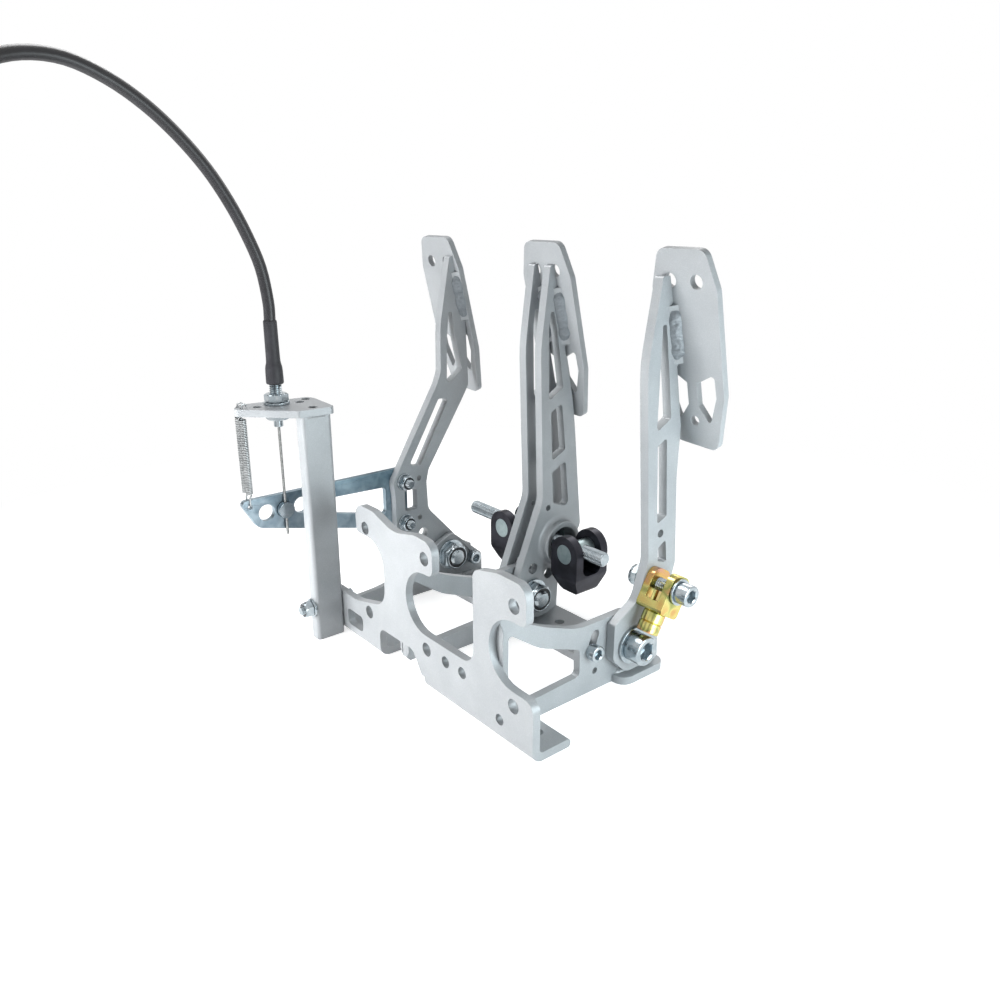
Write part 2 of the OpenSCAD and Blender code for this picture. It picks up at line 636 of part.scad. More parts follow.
clutch_outline = concat([[-24, -16.9, 3], [4, -17.2, 10], [15.4, -6, 6], [15.4, 16.8, 1.5],
    [-3.5, 27.5, 12], [-10.8, 51, 14], [-1.2, 166, 70], [-9.3, 213, 2]],
    on_pad(clutch_pad_y, 213, 165, 129, 3),
    [[-31.4, 98, 30], [-35.4, 44, 6], [-23, 5, 8]]);
clutch_windows = [
    [[-11.3, 187.5, 1.5], [-11.6, 128.3, 1.5], [-23.2, 134.5, 2], [-19.6, 157, 60], [-14.2, 187.8, 1.2]],
    [[-20.4, 124, 1.5], [-13.2, 119.8, 1.5], [-16.6, 72.4, 1.5], [-24.6, 76, 1.5]],
    [[-25.2, 60.8, 1.2], [-18.8, 57.2, 1.2], [-19.3, 48.5, 1.2], [-27, 46, 1.2]]];

module clutch_arm() color(STEEL) arm(clutch_arm_x, clutch_outline, clutch_windows,
    [[-20.2, 65.9, 5], [clevis_at.x, clevis_at.y, clevis_bolt_d + 2 * free_hole]]);
module clutch_pad() color(STEEL)
    foot_pad(clutch_arm_x + arm_t / 2 - pad_off, clutch_pad_y, [clutch_arm_x], 50, 83);

brake_outline = concat([[-22.4, -15, 4], [-8, -18.9, 14], [9, -15, 8], [15, -4, 8], [14, 10, 14],
    [1.5, 40.5, 20], [-8.4, 65, 16], [-4.7, 164, 90], [-11.3, 213.9, 2]],
    on_pad(brake_pad_y, 213.9, 165, 130, 1.4),
    [[-35.8, 110, 25], [-43.3, 41, 6], [-23.5, 5, 8]]);
brake_windows = [
    [[-13.4, 192.5, 1.5], [-11.2, 176, 12], [-12.4, 130.5, 1.5], [-24.4, 138, 2], [-18.2, 174.6, 12]],
    [[-14.2, 122.8, 1.5], [-23.7, 128, 2], [-27.6, 96.6, 2], [-16.1, 90.6, 1.5]],
    [[-16.2, 82.6, 1.5], [-28.2, 88.8, 2], [-31.7, 56, 3], [-17.7, 61, 3]]];
brake_holes = [[-13.3, 58.8, 4], [-0.7, 18.8, 7.5], [-14.4, 11.8, 7.5], [bar_at.x, bar_at.y, tube_d]];

module brake_arm_left() color(STEEL) arm(brake_left_x, brake_outline, brake_windows, brake_holes);
module brake_arm_right() color(STEEL) arm(brake_right_x, brake_outline, brake_windows, brake_holes);
module brake_pad() color(STEEL) foot_pad(-1.7, brake_pad_y, [brake_left_x, brake_right_x], 50, 86);

throttle_outline = concat([[-15.5, -3.7, 0], [-15.5, -9, 5], [-9, -16.2, 6], [10, -16.2, 8], [17, -8, 8],
    [42.6, 26, 6], [42.6, 52, 30], [44, 63, 8], [4.5, 128.5, 12], [1.2, 137, 12], [0.8, 168, 60],
    [-8, 214.8, 2]],
    [[pad_face(throttle_pad_y, 214.8), 214.8, 0], [pad_face(throttle_pad_y, 171), 171, 4],
    [-23.2, 125, 8], [-17, 115, 8], [13.8, 68, 8], [16, 59, 8], [15, 38, 10], [-6, 15, 6],
    [-15, 4, 4], [-23.5, 1.5, 1.5], [-23.5, -3.7, 1]]);
throttle_windows = [
    [[24.4, 40, 2], [34.8, 40, 2], [34.8, 55.7, 2], [24.4, 55.7, 2]],
    [[3.7, 118, 2], [-5.2, 117, 2], [21, 71.5, 2], [30, 73.8, 2]],
    [[-7.8, 188.5, 1.5], [-4.8, 160, 20], [-3.9, 127, 2], [-17.5, 136.5, 2], [-11.8, 161, 20]]];
lever_bolt_d = 6;

module throttle_arm() color(STEEL) arm(throttle_arm_x, throttle_outline, throttle_windows,
    concat([for (z = lever_bolt_z) [lever_bolt_y, z, lever_bolt_d + 2 * free_hole]],
        [[22.4, 62.8, 4], [22.6, 33.1, 4], [20, 20.2, 8]]));
module throttle_pad() color(STEEL)
    foot_pad(throttle_arm_x + arm_t / 2 + 14, throttle_pad_y, [throttle_arm_x], 56, 90);

// Pivot bushes stand a little proud of the arms; the brake's have a flange towards the rib
module bush(x0, x1) pedal() difference() {
    bar_x(x0, x1, 0, 0, bush_d);
    bar_x(x0 - cut, x1 + cut, 0, 0, pivot_d + 2 * running);
}
module clutch_bush() color(BRONZE) bush(clutch_arm_x - 2 * running, clutch_arm_x + arm_t + 2 * running);
module throttle_bush() color(BRONZE)
    bush(throttle_arm_x - 2 * running, throttle_arm_x + arm_t + 2 * running);
module brake_bushes() color(BRONZE) for (side = [-1, 1]) pedal() scale([side, 1, 1]) difference() {
    union() {
        bar_x(brake_left_x, brake_left_x + arm_t + 2 * running, 0, 0, bush_d);
        bar_x(rib_t / 2 + apart, brake_left_x, 0, 0, bush_d + 5);
    }
    bar_x(0, brake_left_x + arm_t + cut, 0, 0, pivot_d + 2 * running);
}

// Clutch clevis: a machined fork that hangs on its bolt beside the arm

fork_x = clutch_arm_x - apart - fork_w;
module on_clevis() pedal() translate([fork_x + fork_w / 2, clevis_at.x, clevis_at.y])
    rotate([180 + clevis_lean, 0, 0]) children();

module clutch_clevis() color(YELLOW_ZINC) on_clevis() difference() {
    translate([-fork_w / 2, 0, 0]) plate_x(0, fork_w, [[-fork_depth / 2, -fork_top, 6],
        [fork_depth / 2, -fork_top, 6], [fork_depth / 2, fork_len, 3], [-fork_depth / 2, fork_len, 3]]);
    translate([-fork_slot / 2, -fork_depth, -fork_top - cut])
        cube([fork_slot, 2 * fork_depth, fork_top + 10 + cut]);
    bar_x(-fork_w, fork_w, 0, 0, clevis_bolt_d + 2 * running);
    cylinder(d = adaptor_stem_d + 2 * running, h = fork_len + cut);
}

module clevis_lock_nut() color(YELLOW_ZINC) on_clevis() translate([0, 0, fork_len])
    nut(13, lock_nut_h, adaptor_stem_d + 2 * running);

// The threaded adaptor takes the cylinder's push rod
module clevis_adaptor() color(YELLOW_ZINC) on_clevis() difference() {
    union() {
        translate([0, 0, fork_len + lock_nut_h]) nut(13, adaptor_hex_h, pushrod_thread_d);
        translate([0, 0, 11]) cylinder(d = adaptor_stem_d, h = fork_len + lock_nut_h - 10);
    }
    cylinder(d = pushrod_thread_d, h = 60);
}

module on_clevis_bolt(x, way) pedal() along_x(x, clevis_at.x, clevis_at.y, way) children();

module clevis_bolt() color(ZINC) on_clevis_bolt(fork_x - apart - washer_t, -1)
    socket_screw(clevis_bolt_d, 13, 8, fork_w + 2 * apart + 2 * washer_t + arm_t + m8_nut_h + 1.5);
module clevis_nut() color(ZINC) on_clevis_bolt(clutch_arm_x + arm_t + washer_t, 1)
    nut(m8_nut_af, m8_nut_h, clevis_bolt_d + 2 * running);
module clevis_washers() color(ZINC) {
    on_clevis_bolt(clutch_arm_x + arm_t, 1) washer(16, clevis_bolt_d + 2 * running, washer_t);
    on_clevis_bolt(fork_x - apart, -1) washer(16, clevis_bolt_d + 2 * running, washer_t);
}

// Balance bar: a threaded bar in a ball joint, with a clevis for each brake cylinder

module on_bar() pedal() translate([0, bar_at.x, bar_at.y]) children();

module balance_tube() color(STEEL) on_bar() difference() {
    bar_x(-tube_len / 2, tube_len / 2, 0, 0, tube_d);
    bar_x(-tube_len, tube_len, 0, 0, tube_bore);
}

// A ring about the bar, race_w long, between a plain radius and a part of a sphere
module ball_ring(plain_r, sphere_r) on_bar() rotate([0, 90, 0]) rotate_extrude()
    polygon(concat([[plain_r, race_w / 2], [plain_r, -race_w / 2]],
        [for (x = [-race_w / 2:race_w / 10:race_w / 2]) [sqrt(sphere_r * sphere_r - x * x), x]]));

module bearing_race() color(ZINC) ball_ring(tube_bore / 2, ball_r + apart);
module bearing_ball() color(ZINC) ball_ring(bar_d / 2 + running, ball_r);

module balance_bar() color(ZINC) on_bar() {
    chamfer = 1;
    bar_x(bar_right_end + chamfer, bar_left_end - chamfer, 0, 0, bar_d);
    along_x(bar_right_end + chamfer, 0, 0, -1) cylinder(d1 = bar_d, d2 = bar_d - 2 * chamfer, h = chamfer);
    along_x(bar_left_end - chamfer, 0, 0) cylinder(d1 = bar_d, d2 = bar_d - 2 * chamfer, h = chamfer);
}

module balance_trunnions() color(ZINC) on_bar() for (side = [-1, 1]) difference() {
    bar_y(-cheek_depth / 2, cheek_depth / 2, side * brake_pitch / 2, 0, trunnion_d);
    bar_x(-60, 60, 0, 0, bar_d);
}

// Two round cheeks hold the trunnion, and a tapered back takes the push rod
module balance_clevis(x) color(BLACK) on_bar() translate([x, 0, 0]) difference() {
    union() {
        bar_y(-cheek_depth / 2, cheek_depth / 2, 0, 0, 2 * cheek_r);
        plate_y(-cheek_depth / 2, cheek_depth, [[-cheek_r, 0, 0], [-cheek_r, -15, 6], [-8, -clevis_reach, 4],
            [8, -clevis_reach, 4], [cheek_r, -15, 6], [cheek_r, 0, 0]]);
    }
    translate([-2 * cheek_r, 0, 0]) plate_x(0, 4 * cheek_r, [
        [-cheek_depth / 2 + cheek_t, cheek_r + cut, 0], [cheek_depth / 2 - cheek_t, cheek_r + cut, 0],
        [cheek_depth / 2 - cheek_t, -14, 5], [-cheek_depth / 2 + cheek_t, -14, 5]]);
    for (side = [-1, 1]) translate([-2 * cheek_r, 0, 0]) plate_x(0, 4 * cheek_r, [
        [side * cheek_depth, -clevis_reach - cut, 0], [side * 8, -clevis_reach - cut, 0],
        [side * 8, -clevis_reach, 4], [side * cheek_depth / 2, -17, 6], [side * cheek_depth / 2, -16, 0],
        [side * cheek_depth, -16, 0]]);
    bar_y(-cheek_depth, cheek_depth, 0, 0, trunnion_d + 2 * running);
    bar_z(-clevis_reach - cut, -10, 0, 0, pushrod_thread_d);
}
module balance_clevis_left() balance_clevis(brake_pitch / 2);
module balance_clevis_right() balance_clevis(-brake_pitch / 2);

// Throttle lever

lever_outline = [[29, 71.2, 5], [154.3, 71.2, 3], [143, 51.5, 9], [112.2, 44.2, 30], [44, 27.9, 20],
    [29, 25.5, 5]];
lever_window = [[47, 59.4, 3], [86, 60.6, 6], [101.5, 55.6, 3], [86, 48.8, 8], [47, 39.2, 3]];

module throttle_lever() color(ZINC) pedal() difference() {
    plate_x(lever_x, lever_t, lever_outline);
    plate_x(lever_x - cut, lever_t + 2 * cut, lever_window);
    for (step = [-1, 0, 1])
        bar_x(lever_x - cut, lever_x + lever_t + cut, cable_y + 12.3 * step, clamp_z, clamp_d + 0.4);
    for (z = lever_bolt_z)
        bar_x(lever_x - cut, lever_x + lever_t + cut, lever_bolt_y, z, lever_bolt_d + 2 * free_hole);
    bar_x(lever_x - cut, lever_x + lever_t + cut, spring_y, spring_hole_z, spring_hole_d);
}

module lever_bolts() color(ZINC) pedal() for (z = lever_bolt_z)
    along_x(lever_x + lever_t, lever_bolt_y, z)
        socket_screw(lever_bolt_d, stop_head_d, 4, lever_t + arm_t + washer_t + stop_nut_h + 3);

module lever_nuts() color(ZINC) pedal() for (z = lever_bolt_z)
    along_x(throttle_arm_x, lever_bolt_y, z, -1) {
        washer(12, lever_bolt_d + 2 * running, washer_t);
        translate([0, 0, washer_t]) nut(10, stop_nut_h, lever_bolt_d + 2 * running);
    }

// The clamp is a barrel in the lever's hole, with a cross hole for the wire
module cable_clamp() color(ZINC) pedal() difference() {
    union() {
        bar_x(cable_x - 2.3, lever_x + lever_t + 0.6, cable_y, clamp_z, clamp_d);
        bar_x(lever_x + lever_t + 0.3, lever_x + lever_t + 1.3, cable_y, clamp_z, clamp_d + 2);
    }
    bar_z(clamp_z - clamp_d, clamp_z + clamp_d, cable_x, cable_y, wire_d + 2 * running);
}

module clamp_wire_end() color(ZINC) pedal()
    bar_z(clamp_z - clamp_d / 2 - 11.5, clamp_z + clamp_d / 2, cable_x, cable_y, wire_d);

front_plate();
clutch_rib();
brake_rib();
throttle_rib();
rear_foot_plate();
tower_tube();
tower_top_plate();
tower_bolt();
tower_nut();
pivot_bolts();
pivot_nuts();
pivot_washers();
stop_bolts();
stop_nuts();
cable_adjuster();
adjuster_nuts();
adjuster_washer();
cable_boot();
throttle_cable();
throttle_cable_coil();
cable_end_sleeve();
cable_end_wire();
inner_wire();
return_springs();
upper_spring_hooks();
lower_spring_hooks();
clutch_arm();
clutch_pad();
clutch_bush();
clevis_bolt();
clevis_nut();
clevis_washers();
clutch_clevis();
clevis_lock_nut();
clevis_adaptor();
brake_arm_left();
brake_arm_right();
brake_pad();
brake_bushes();
balance_tube();
bearing_race();
bearing_ball();
balance_bar();
balance_trunnions();
balance_clevis_left();
balance_clevis_right();
throttle_arm();
throttle_pad();
throttle_bush();
throttle_lever();
lever_bolts();
lever_nuts();
cable_clamp();
clamp_wire_end();
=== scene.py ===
"""The looks of a floor-mounted set of racing pedals: finishes, rounded edges, threads,
nuts, welds, springs and the throttle cable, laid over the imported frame."""

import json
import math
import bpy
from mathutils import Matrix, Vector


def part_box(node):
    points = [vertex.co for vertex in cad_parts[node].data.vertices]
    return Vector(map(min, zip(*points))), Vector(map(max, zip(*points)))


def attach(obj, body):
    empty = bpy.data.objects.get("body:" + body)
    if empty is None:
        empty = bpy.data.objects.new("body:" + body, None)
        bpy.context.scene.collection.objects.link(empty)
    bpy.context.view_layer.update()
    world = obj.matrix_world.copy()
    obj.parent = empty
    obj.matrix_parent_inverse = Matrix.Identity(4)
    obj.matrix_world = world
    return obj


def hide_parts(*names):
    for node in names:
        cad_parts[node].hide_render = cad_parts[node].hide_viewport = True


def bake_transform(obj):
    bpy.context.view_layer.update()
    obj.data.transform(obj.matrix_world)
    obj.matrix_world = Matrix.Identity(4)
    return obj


bl_info = {
    "name": "Racing Pedal Set",
    "version": (1, 0, 0),
    "blender": (4, 5, 0),
    "location": "View3D > Sidebar > Pedals",
    "description": "Dresses a set of three racing pedals in powder coat, zinc and rubber",
    "category": "Object",
}

import bmesh
import bpy
from bpy.props import FloatProperty, IntProperty, PointerProperty, StringProperty
from mathutils import Matrix, Vector, noise

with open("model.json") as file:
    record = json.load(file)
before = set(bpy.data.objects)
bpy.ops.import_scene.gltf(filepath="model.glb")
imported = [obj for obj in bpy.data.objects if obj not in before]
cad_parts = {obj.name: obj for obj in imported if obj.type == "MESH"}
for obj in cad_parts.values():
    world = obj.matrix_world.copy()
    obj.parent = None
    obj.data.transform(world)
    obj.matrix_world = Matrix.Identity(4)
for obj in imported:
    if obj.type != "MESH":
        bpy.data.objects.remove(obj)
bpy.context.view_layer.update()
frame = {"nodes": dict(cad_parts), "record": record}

MM = 0.001
# Corners this near each other count as one
WELD_DISTANCE = 0.001 * MM
# A shank reaches this far into its head, so that no gap shows between them
SHANK_OVERLAP = 0.1 * MM

# How many sides a threaded rod has
THREAD_SIDES = 36
# Edges stay sharp over these angles, in degrees
THREAD_SHARP = 28
TUBE_WELD_SHARP = 50
WELD_SHARP = 60
WIRE_SHARP = 80

# Places in the frame, in millimetres
PAD_TILT = math.radians(13.5)
PAD_FOOT_HEIGHT = 142.0
BALANCE_TUBE = Vector((0, -22, 58.5))
BALANCE_TUBE_RADIUS = 15.0
PLATE_BACK = 96.0
FOOT_TOP = 5.0
CLEVIS_BOLT = Vector((-109.8, -16, 61.5))
CLEVIS_WAY = Vector((0, 0.5, -0.8660254))

# Sizes of the fasteners, in millimetres
SMALL_NUT_ACROSS = 10.0
WASHER_HEIGHT = 1.6
TOWER_HEAD_HEIGHT = 4.0
TOWER_BOLT_PITCH = 1.0
# A lock nut's collar, as shares of the nut's width and height
COLLAR_WIDTH = 0.95
COLLAR_LIP = 0.05
COLLAR_FOOT = 0.7

# The clutch clevis's two turned collars, in millimetres: radii, then places along it
COLLAR_BORE = 3.5
COLLAR_STEM = 5.5
COLLAR_RADIUS = 6.7
COLLAR_EDGE = 0.6
COLLAR_SINK = 0.8
STEM_START = 11.0
LOCK_COLLAR_START = 16.3
LOCK_COLLAR_END = 22.7
ADAPTOR_END = 29.1

# The free stretch of the cable, from the boot to the coil on the floor in front
CABLE_ROUTE = [
    (92.3, 124, 207), (92.3, 124, 218), (92.3, 127, 238), (92.3, 134, 257),
    (92, 143, 275), (91.5, 154, 292), (90.5, 168, 308), (89, 184, 322),
    (86.5, 202, 333), (83, 222, 340), (79, 242, 340), (75, 260, 334),
    (71, 276, 322), (67, 289, 307), (63, 299, 290), (60, 306, 272),
    (57, 312, 253), (55, 316, 233), (53, 319, 213), (52, 321, 193),
    (51, 323, 173), (50, 325, 153), (50, 327, 133), (50, 328, 113),
    (50, 329, 94), (50, 330, 76), (51, 331, 58), (55, 332, 40),
    (64, 332, 24), (78, 332, 11.5), (95, 332, 5), (113, 332, 3.5),
]
# The boot's outline, as radius and height above its flat end: a plain skirt over the
# adjuster's nose, then a sleeve shrunk down on the cable
BOOT_PROFILE = (
    (3.0, 0), (4.75, 0), (5.1, 0.12), (5.32, 0.5), (5.4, 1.1), (5.38, 4), (5.3, 7.5), (5.2, 9.6),
    (5.02, 10.9), (4.75, 11.9), (4.5, 12.9), (4.36, 14), (4.28, 16), (4.24, 20), (4.2, 25),
    (4.16, 31), (4.13, 36.3), (4.1, 37.9), (4.0, 38.4), (3.8, 38.7), (3.5, 38.8), (3.0, 38.8),
    (3.0, 0),
)
# The adjuster's threaded stretch, from its foot under the top plate up to the boot
ADJUSTER_FOOT = 145.0
ADJUSTER_LENGTH = 23.2
ADJUSTER_PITCH = 1.25
# Its slim nose: the radii of its bore, its tip and its side, and the tip's chamfer
NOSE_BORE = 1.4
NOSE_TIP = 2.6
NOSE_RADIUS = 2.9
NOSE_CHAMFER = 0.3
# Where each spring's winding starts and ends, and how far it stands from the lever's middle
SPRING_BOTTOM = 100.5
SPRING_TOP = 148.5
SPRING_OFF = 2.7
# The springs' hooks: a lead from the winding to its axis, then a turn through a hole
HOOK_LEAD = [(1.89, 0, 0), (1.89, -0.85, -0.1), (1.375, -1.5, -0.4), (0.7, -1.4, -1.3),
             (0.15, -0.6, -2.2), (0, 0, -3.2)]
UPPER_HOOK = [(0, 0, 8.2), (0, -0.5, 9.1), (0, -1.5, 9.4), (0, -2.8, 9.1), (0, -3.5, 7.8)]
LOWER_HOOK = [(0, 0, -7.025), (-0.3, 0, -7.775), (-1, 0, -8.025), (-2.6, 0, -8.025)]
# The cable's coil on the floor: its turns wind inwards as far as the turn back, climb onto
# the layer below within half a turn, and wind out again
COIL_RADIUS = 42.5
COIL_PITCH = 7.5
COIL_TURNS = 2.5
COIL_TURN_BACK = 1.5
COIL_CLIMB = 0.5
COIL_LEAD = 7.0
COIL_STEPS = 48
# The inner wire's strands: their number, the length of one lay, and the fluted skin's rows
STRANDS = 6
ROPE_LAY = 9.0
ROPE_ROW = 0.6
ROPE_SIDES = 24


class FinishSettings(bpy.types.PropertyGroup):
    """Colours of the finishes, as sRGB hex values."""

    coat: StringProperty(
        name="Powder coat", description="Colour of the frame, arms and pads", default="#A7ABAE"
    )
    zinc: StringProperty(
        name="Bright zinc", description="Colour of the bolts, nuts and washers", default="#B9C0C4"
    )
    blue_zinc: StringProperty(
        name="Blue zinc", description="Colour of the throttle lever", default="#AAB9C2"
    )
    edge_round: FloatProperty(
        name="Edge rounding",
        description="Radius on the edges of the coated plates",
        default=0.75 * MM,
        min=0,
        subtype="DISTANCE",
        unit="LENGTH",
    )
    machined_round: FloatProperty(
        name="Machined edge",
        description="Radius on the edges of turned and milled pieces",
        default=0.25 * MM,
        min=0,
        subtype="DISTANCE",
        unit="LENGTH",
    )


class HardwareSettings(bpy.types.PropertyGroup):
    """Sizes of the threads, nuts and welds."""

    bar_pitch: FloatProperty(
        name="Bar thread", description="Pitch of the balance bar's thread", default=1.27 * MM,
        min=0.5 * MM, unit="LENGTH",
    )
    bolt_pitch: FloatProperty(
        name="Bolt thread", description="Pitch of the bolts' threads", default=1.25 * MM,
        min=0.5 * MM, unit="LENGTH",
    )
    weld_leg: FloatProperty(
        name="Weld leg", description="Leg of the welds that hold the pads", default=5.2 * MM,
        min=1 * MM, unit="LENGTH",
    )
    seam_leg: FloatProperty(
        name="Seam leg", description="Leg of the welds between the frame's plates",
        default=2.2 * MM, min=1 * MM, unit="LENGTH",
    )
    sides: IntProperty(
        name="Sides", description="Sides of a turned piece", default=72, min=24, max=144
    )


class CableSettings(bpy.types.PropertyGroup):
    """Sizes of the throttle cable and the return springs."""

    sheath: FloatProperty(
        name="Sheath", description="Outside diameter of the cable", default=7 * MM,
        min=3 * MM, unit="LENGTH",
    )
    wire: FloatProperty(
        name="Wire", description="Diameter of the inner wire rope", default=1.8 * MM,
        min=1 * MM, unit="LENGTH",
    )
    spring: FloatProperty(
        name="Spring", description="Outside diameter of a return spring", default=4.8 * MM,
        min=3 * MM, unit="LENGTH",
    )
    spring_wire: FloatProperty(
        name="Spring wire", description="Diameter of the springs' wire", default=1.02 * MM,
        min=0.4 * MM, unit="LENGTH",
    )
    curls: IntProperty(
        name="Curls", description="Curls in a return spring", default=44, min=8, max=50
    )


# Meshes


def link_mesh(name, verts, faces, smooth_angle=35):
    """A linked mesh object, smooth except where its faces meet at more than smooth_angle."""
    mesh = bpy.data.meshes.new(name)
    mesh.from_pydata([tuple(v) for v in verts], [], faces)
    mesh.validate()
    shell = bmesh.new()
    shell.from_mesh(mesh)
    bmesh.ops.remove_doubles(shell, verts=shell.verts, dist=WELD_DISTANCE)
    bmesh.ops.recalc_face_normals(shell, faces=shell.faces)
    shell.to_mesh(mesh)
    shell.free()
    piece = bpy.data.objects.new(name, mesh)
    bpy.context.scene.collection.objects.link(piece)
    mesh.shade_smooth()
    mesh.set_sharp_from_angle(angle=math.radians(smooth_angle))
    return piece


def basis(origin, way, up=None):
    """A matrix that takes local Z to way and local X as near as it can to up."""
    z = Vector(way).normalized()
    side = Vector(up) if up else (Vector((0, 0, 1)) if abs(z.z) < 0.9 else Vector((1, 0, 0)))
    x = (side - side.dot(z) * z).normalized()
    y = z.cross(x)
    return Matrix.Translation(Vector(origin)) @ Matrix((x, y, z)).transposed().to_4x4()


def merge(parts):
    """One list of corners and one of faces from several."""
    verts, faces = [], []
    for part_verts, part_faces in parts:
        start = len(verts)
        verts += list(part_verts)
        faces += [tuple(i + start for i in f) for f in part_faces]
    return verts, faces


def placed(part, matrix):
    """The same part with its corners moved by the matrix."""
    return [matrix @ Vector(v) for v in part[0]], part[1]


def skin(rings, ends=True):
    """Joins rings of corners, each ring as long as the next, into one surface, and closes its ends."""
    sides = len(rings[0])
    verts = [v for ring in rings for v in ring]
    faces = []
    for i in range(len(rings) - 1):
        for k in range(sides):
            a, b = i * sides + k, i * sides + (k + 1) % sides
            faces.append((a, b, b + sides, a + sides))
    if ends:
        faces.append(tuple(reversed(range(sides))))
        faces.append(tuple(range(len(verts) - sides, len(verts))))
    return verts, faces


def circle(radius, height, sides):
    """One ring of corners."""
    angles = [math.tau * k / sides for k in range(sides)]
    return [Vector((radius * math.cos(a), radius * math.sin(a), height)) for a in angles]


def turned(profile, sides):
    """A surface of revolution about Z from a closed list of (radius, height)."""
    return skin([circle(r, h, sides) for r, h in profile], ends=False)


def swept(points, radius, sides):
    """A tube along points, its rings carried along without a twist."""
    points = [Vector(p) for p in points]
    last = len(points) - 1
    ways = [(points[min(i + 1, last)] - points[max(i - 1, 0)]).normalized() for i in range(last + 1)]
    side = Vector((0, 0, 1))
    rings = []
    for point, way in zip(points, ways):
        side = (side - side.dot(way) * way).normalized()
        other = way.cross(side)
        rings.append([
            point + radius * (math.cos(a) * side + math.sin(a) * other)
            for a in (math.tau * k / sides for k in range(sides))
        ])
    return skin(rings)


def smooth_line(points, steps=5):
    """A smooth curve through points, with steps places from each to the next."""
    points = [Vector(p) for p in points]
    padded = [2 * points[0] - points[1]] + points + [2 * points[-1] - points[-2]]
    places = []
    for a, b, c, d in zip(padded, padded[1:], padded[2:], padded[3:]):
        for i in range(steps):
            t = i / steps
            places.append(0.5 * (2 * b + (c - a) * t + (2 * a - 5 * b + 4 * c - d) * t ** 2
                                 + (3 * b - a - 3 * c + d) * t ** 3))
    return places + [points[-1]]


def thread(radius, length, pitch, lead=None):
    """A threaded rod on Z from 0 to length, with a turned lead at its far end."""
    depth = 0.5 * pitch
    lead = depth if lead is None else lead
    rows_per_turn = 6
    root_round = 1.2
    rows = max(2, round(length / pitch * rows_per_turn))
    rings = []
    for i in range(rows + 1):
        z = length * i / rows
        ring = []
        for k in range(THREAD_SIDES):
            a = math.tau * k / THREAD_SIDES
            phase = (z / pitch - k / THREAD_SIDES) % 1
            groove = depth * (1 - abs(2 * phase - 1)) ** root_round
            r = min(radius - groove, radius - lead + max(0, length - z))
            ring.append(Vector((r * math.cos(a), r * math.sin(a), z)))
        rings.append(ring)
    return skin(rings)


def hex_radius(across, angle):
    """Distance from the middle of a hexagon, across wide, to its edge; a corner lies at 0."""
    return across / 2 / math.cos((angle % (math.pi / 3)) - math.pi / 6)


def hex_rings(across, rows, sides):
    """Rings of a hexagon cut back to a circle: rows hold (height, largest radius)."""
    rings = []
    for height, limit in rows:
        ring = []
        for k in range(sides):
            a = math.tau * k / sides
            r = min(hex_radius(across, a), limit)
            ring.append(Vector((r * math.cos(a), r * math.sin(a), height)))
        rings.append(ring)
    return rings


def chamfer_rows(across, height, both=True):
    """Rows of a nut's body, its corners turned down at 30 degrees."""
    wide = across / math.sqrt(3)
    # The face is a circle a little smaller than the flats, as a real nut's is
    flat = 0.97 * across / 2
    drop = (wide - flat) * math.tan(math.radians(30))
    steps = 4
    low = [(drop * i / steps, flat + (wide - flat) * i / steps) for i in range(steps + 1)]
    high = [(height - h, r) for h, r in reversed(low)]
    return (low if both else [(0, wide)]) + high


def plain_nut(across, height, bore, sides):
    """A hexagonal nut on Z, with a countersunk bore."""
    # The bore's mouth opens by a tenth
    sink = 1.1 * bore
    rings = hex_rings(across, chamfer_rows(across, height), sides)
    rings.append(circle(sink, height, sides))
    rings.append(circle(bore, height - (sink - bore), sides))
    rings.append(circle(bore, sink - bore, sides))
    rings.append(circle(sink, 0, sides))
    rings.append(rings[0])
    return skin(rings, ends=False)


def collar_nut(across, height, bore, sides):
    """A lock nut on Z: a hexagon with a rolled collar over its insert."""
    outer = COLLAR_WIDTH * across / 2
    lip = COLLAR_LIP * across
    seat = height - 0.13 * across
    rings = hex_rings(across, chamfer_rows(across, COLLAR_FOOT * height), sides)
    steps = 8
    for i in range(steps + 1):
        a = math.pi * i / steps
        rings.append(circle(outer - lip * (1 - math.cos(a)) / 2, height - lip * (1 - math.sin(a)) / 2, sides))
    rings.append(circle(outer - lip, seat, sides))
    rings.append(circle(bore + 0.1 * MM, seat, sides))
    rings.append(circle(bore, 0, sides))
    rings.append(rings[0])
    return skin(rings, ends=False)


def insert_ring(across, height, bore, sides):
    """The nylon ring that shows inside a lock nut's collar."""
    outer = COLLAR_WIDTH * across / 2 - COLLAR_LIP * across
    # It bites into the bolt's thread by a tenth of a millimetre
    grip = bore - 0.1 * MM
    foot = height - 0.12 * across
    top = height - 0.025 * across
    profile = [(outer, foot), (outer, top), (bore + 0.01 * across, top), (grip, top - 0.02 * across),
               (grip, foot)]
    return turned(profile + profile[:1], sides)


def flat_ring(bore, radius, height, sides):
    """A washer on Z from 0, with its rim rounded off."""
    rim = 0.25 * MM
    profile = [(bore, 0), (radius - rim, 0), (radius, rim), (radius, height - rim),
               (radius - rim, height), (bore, height)]
    return turned(profile + profile[:1], sides)


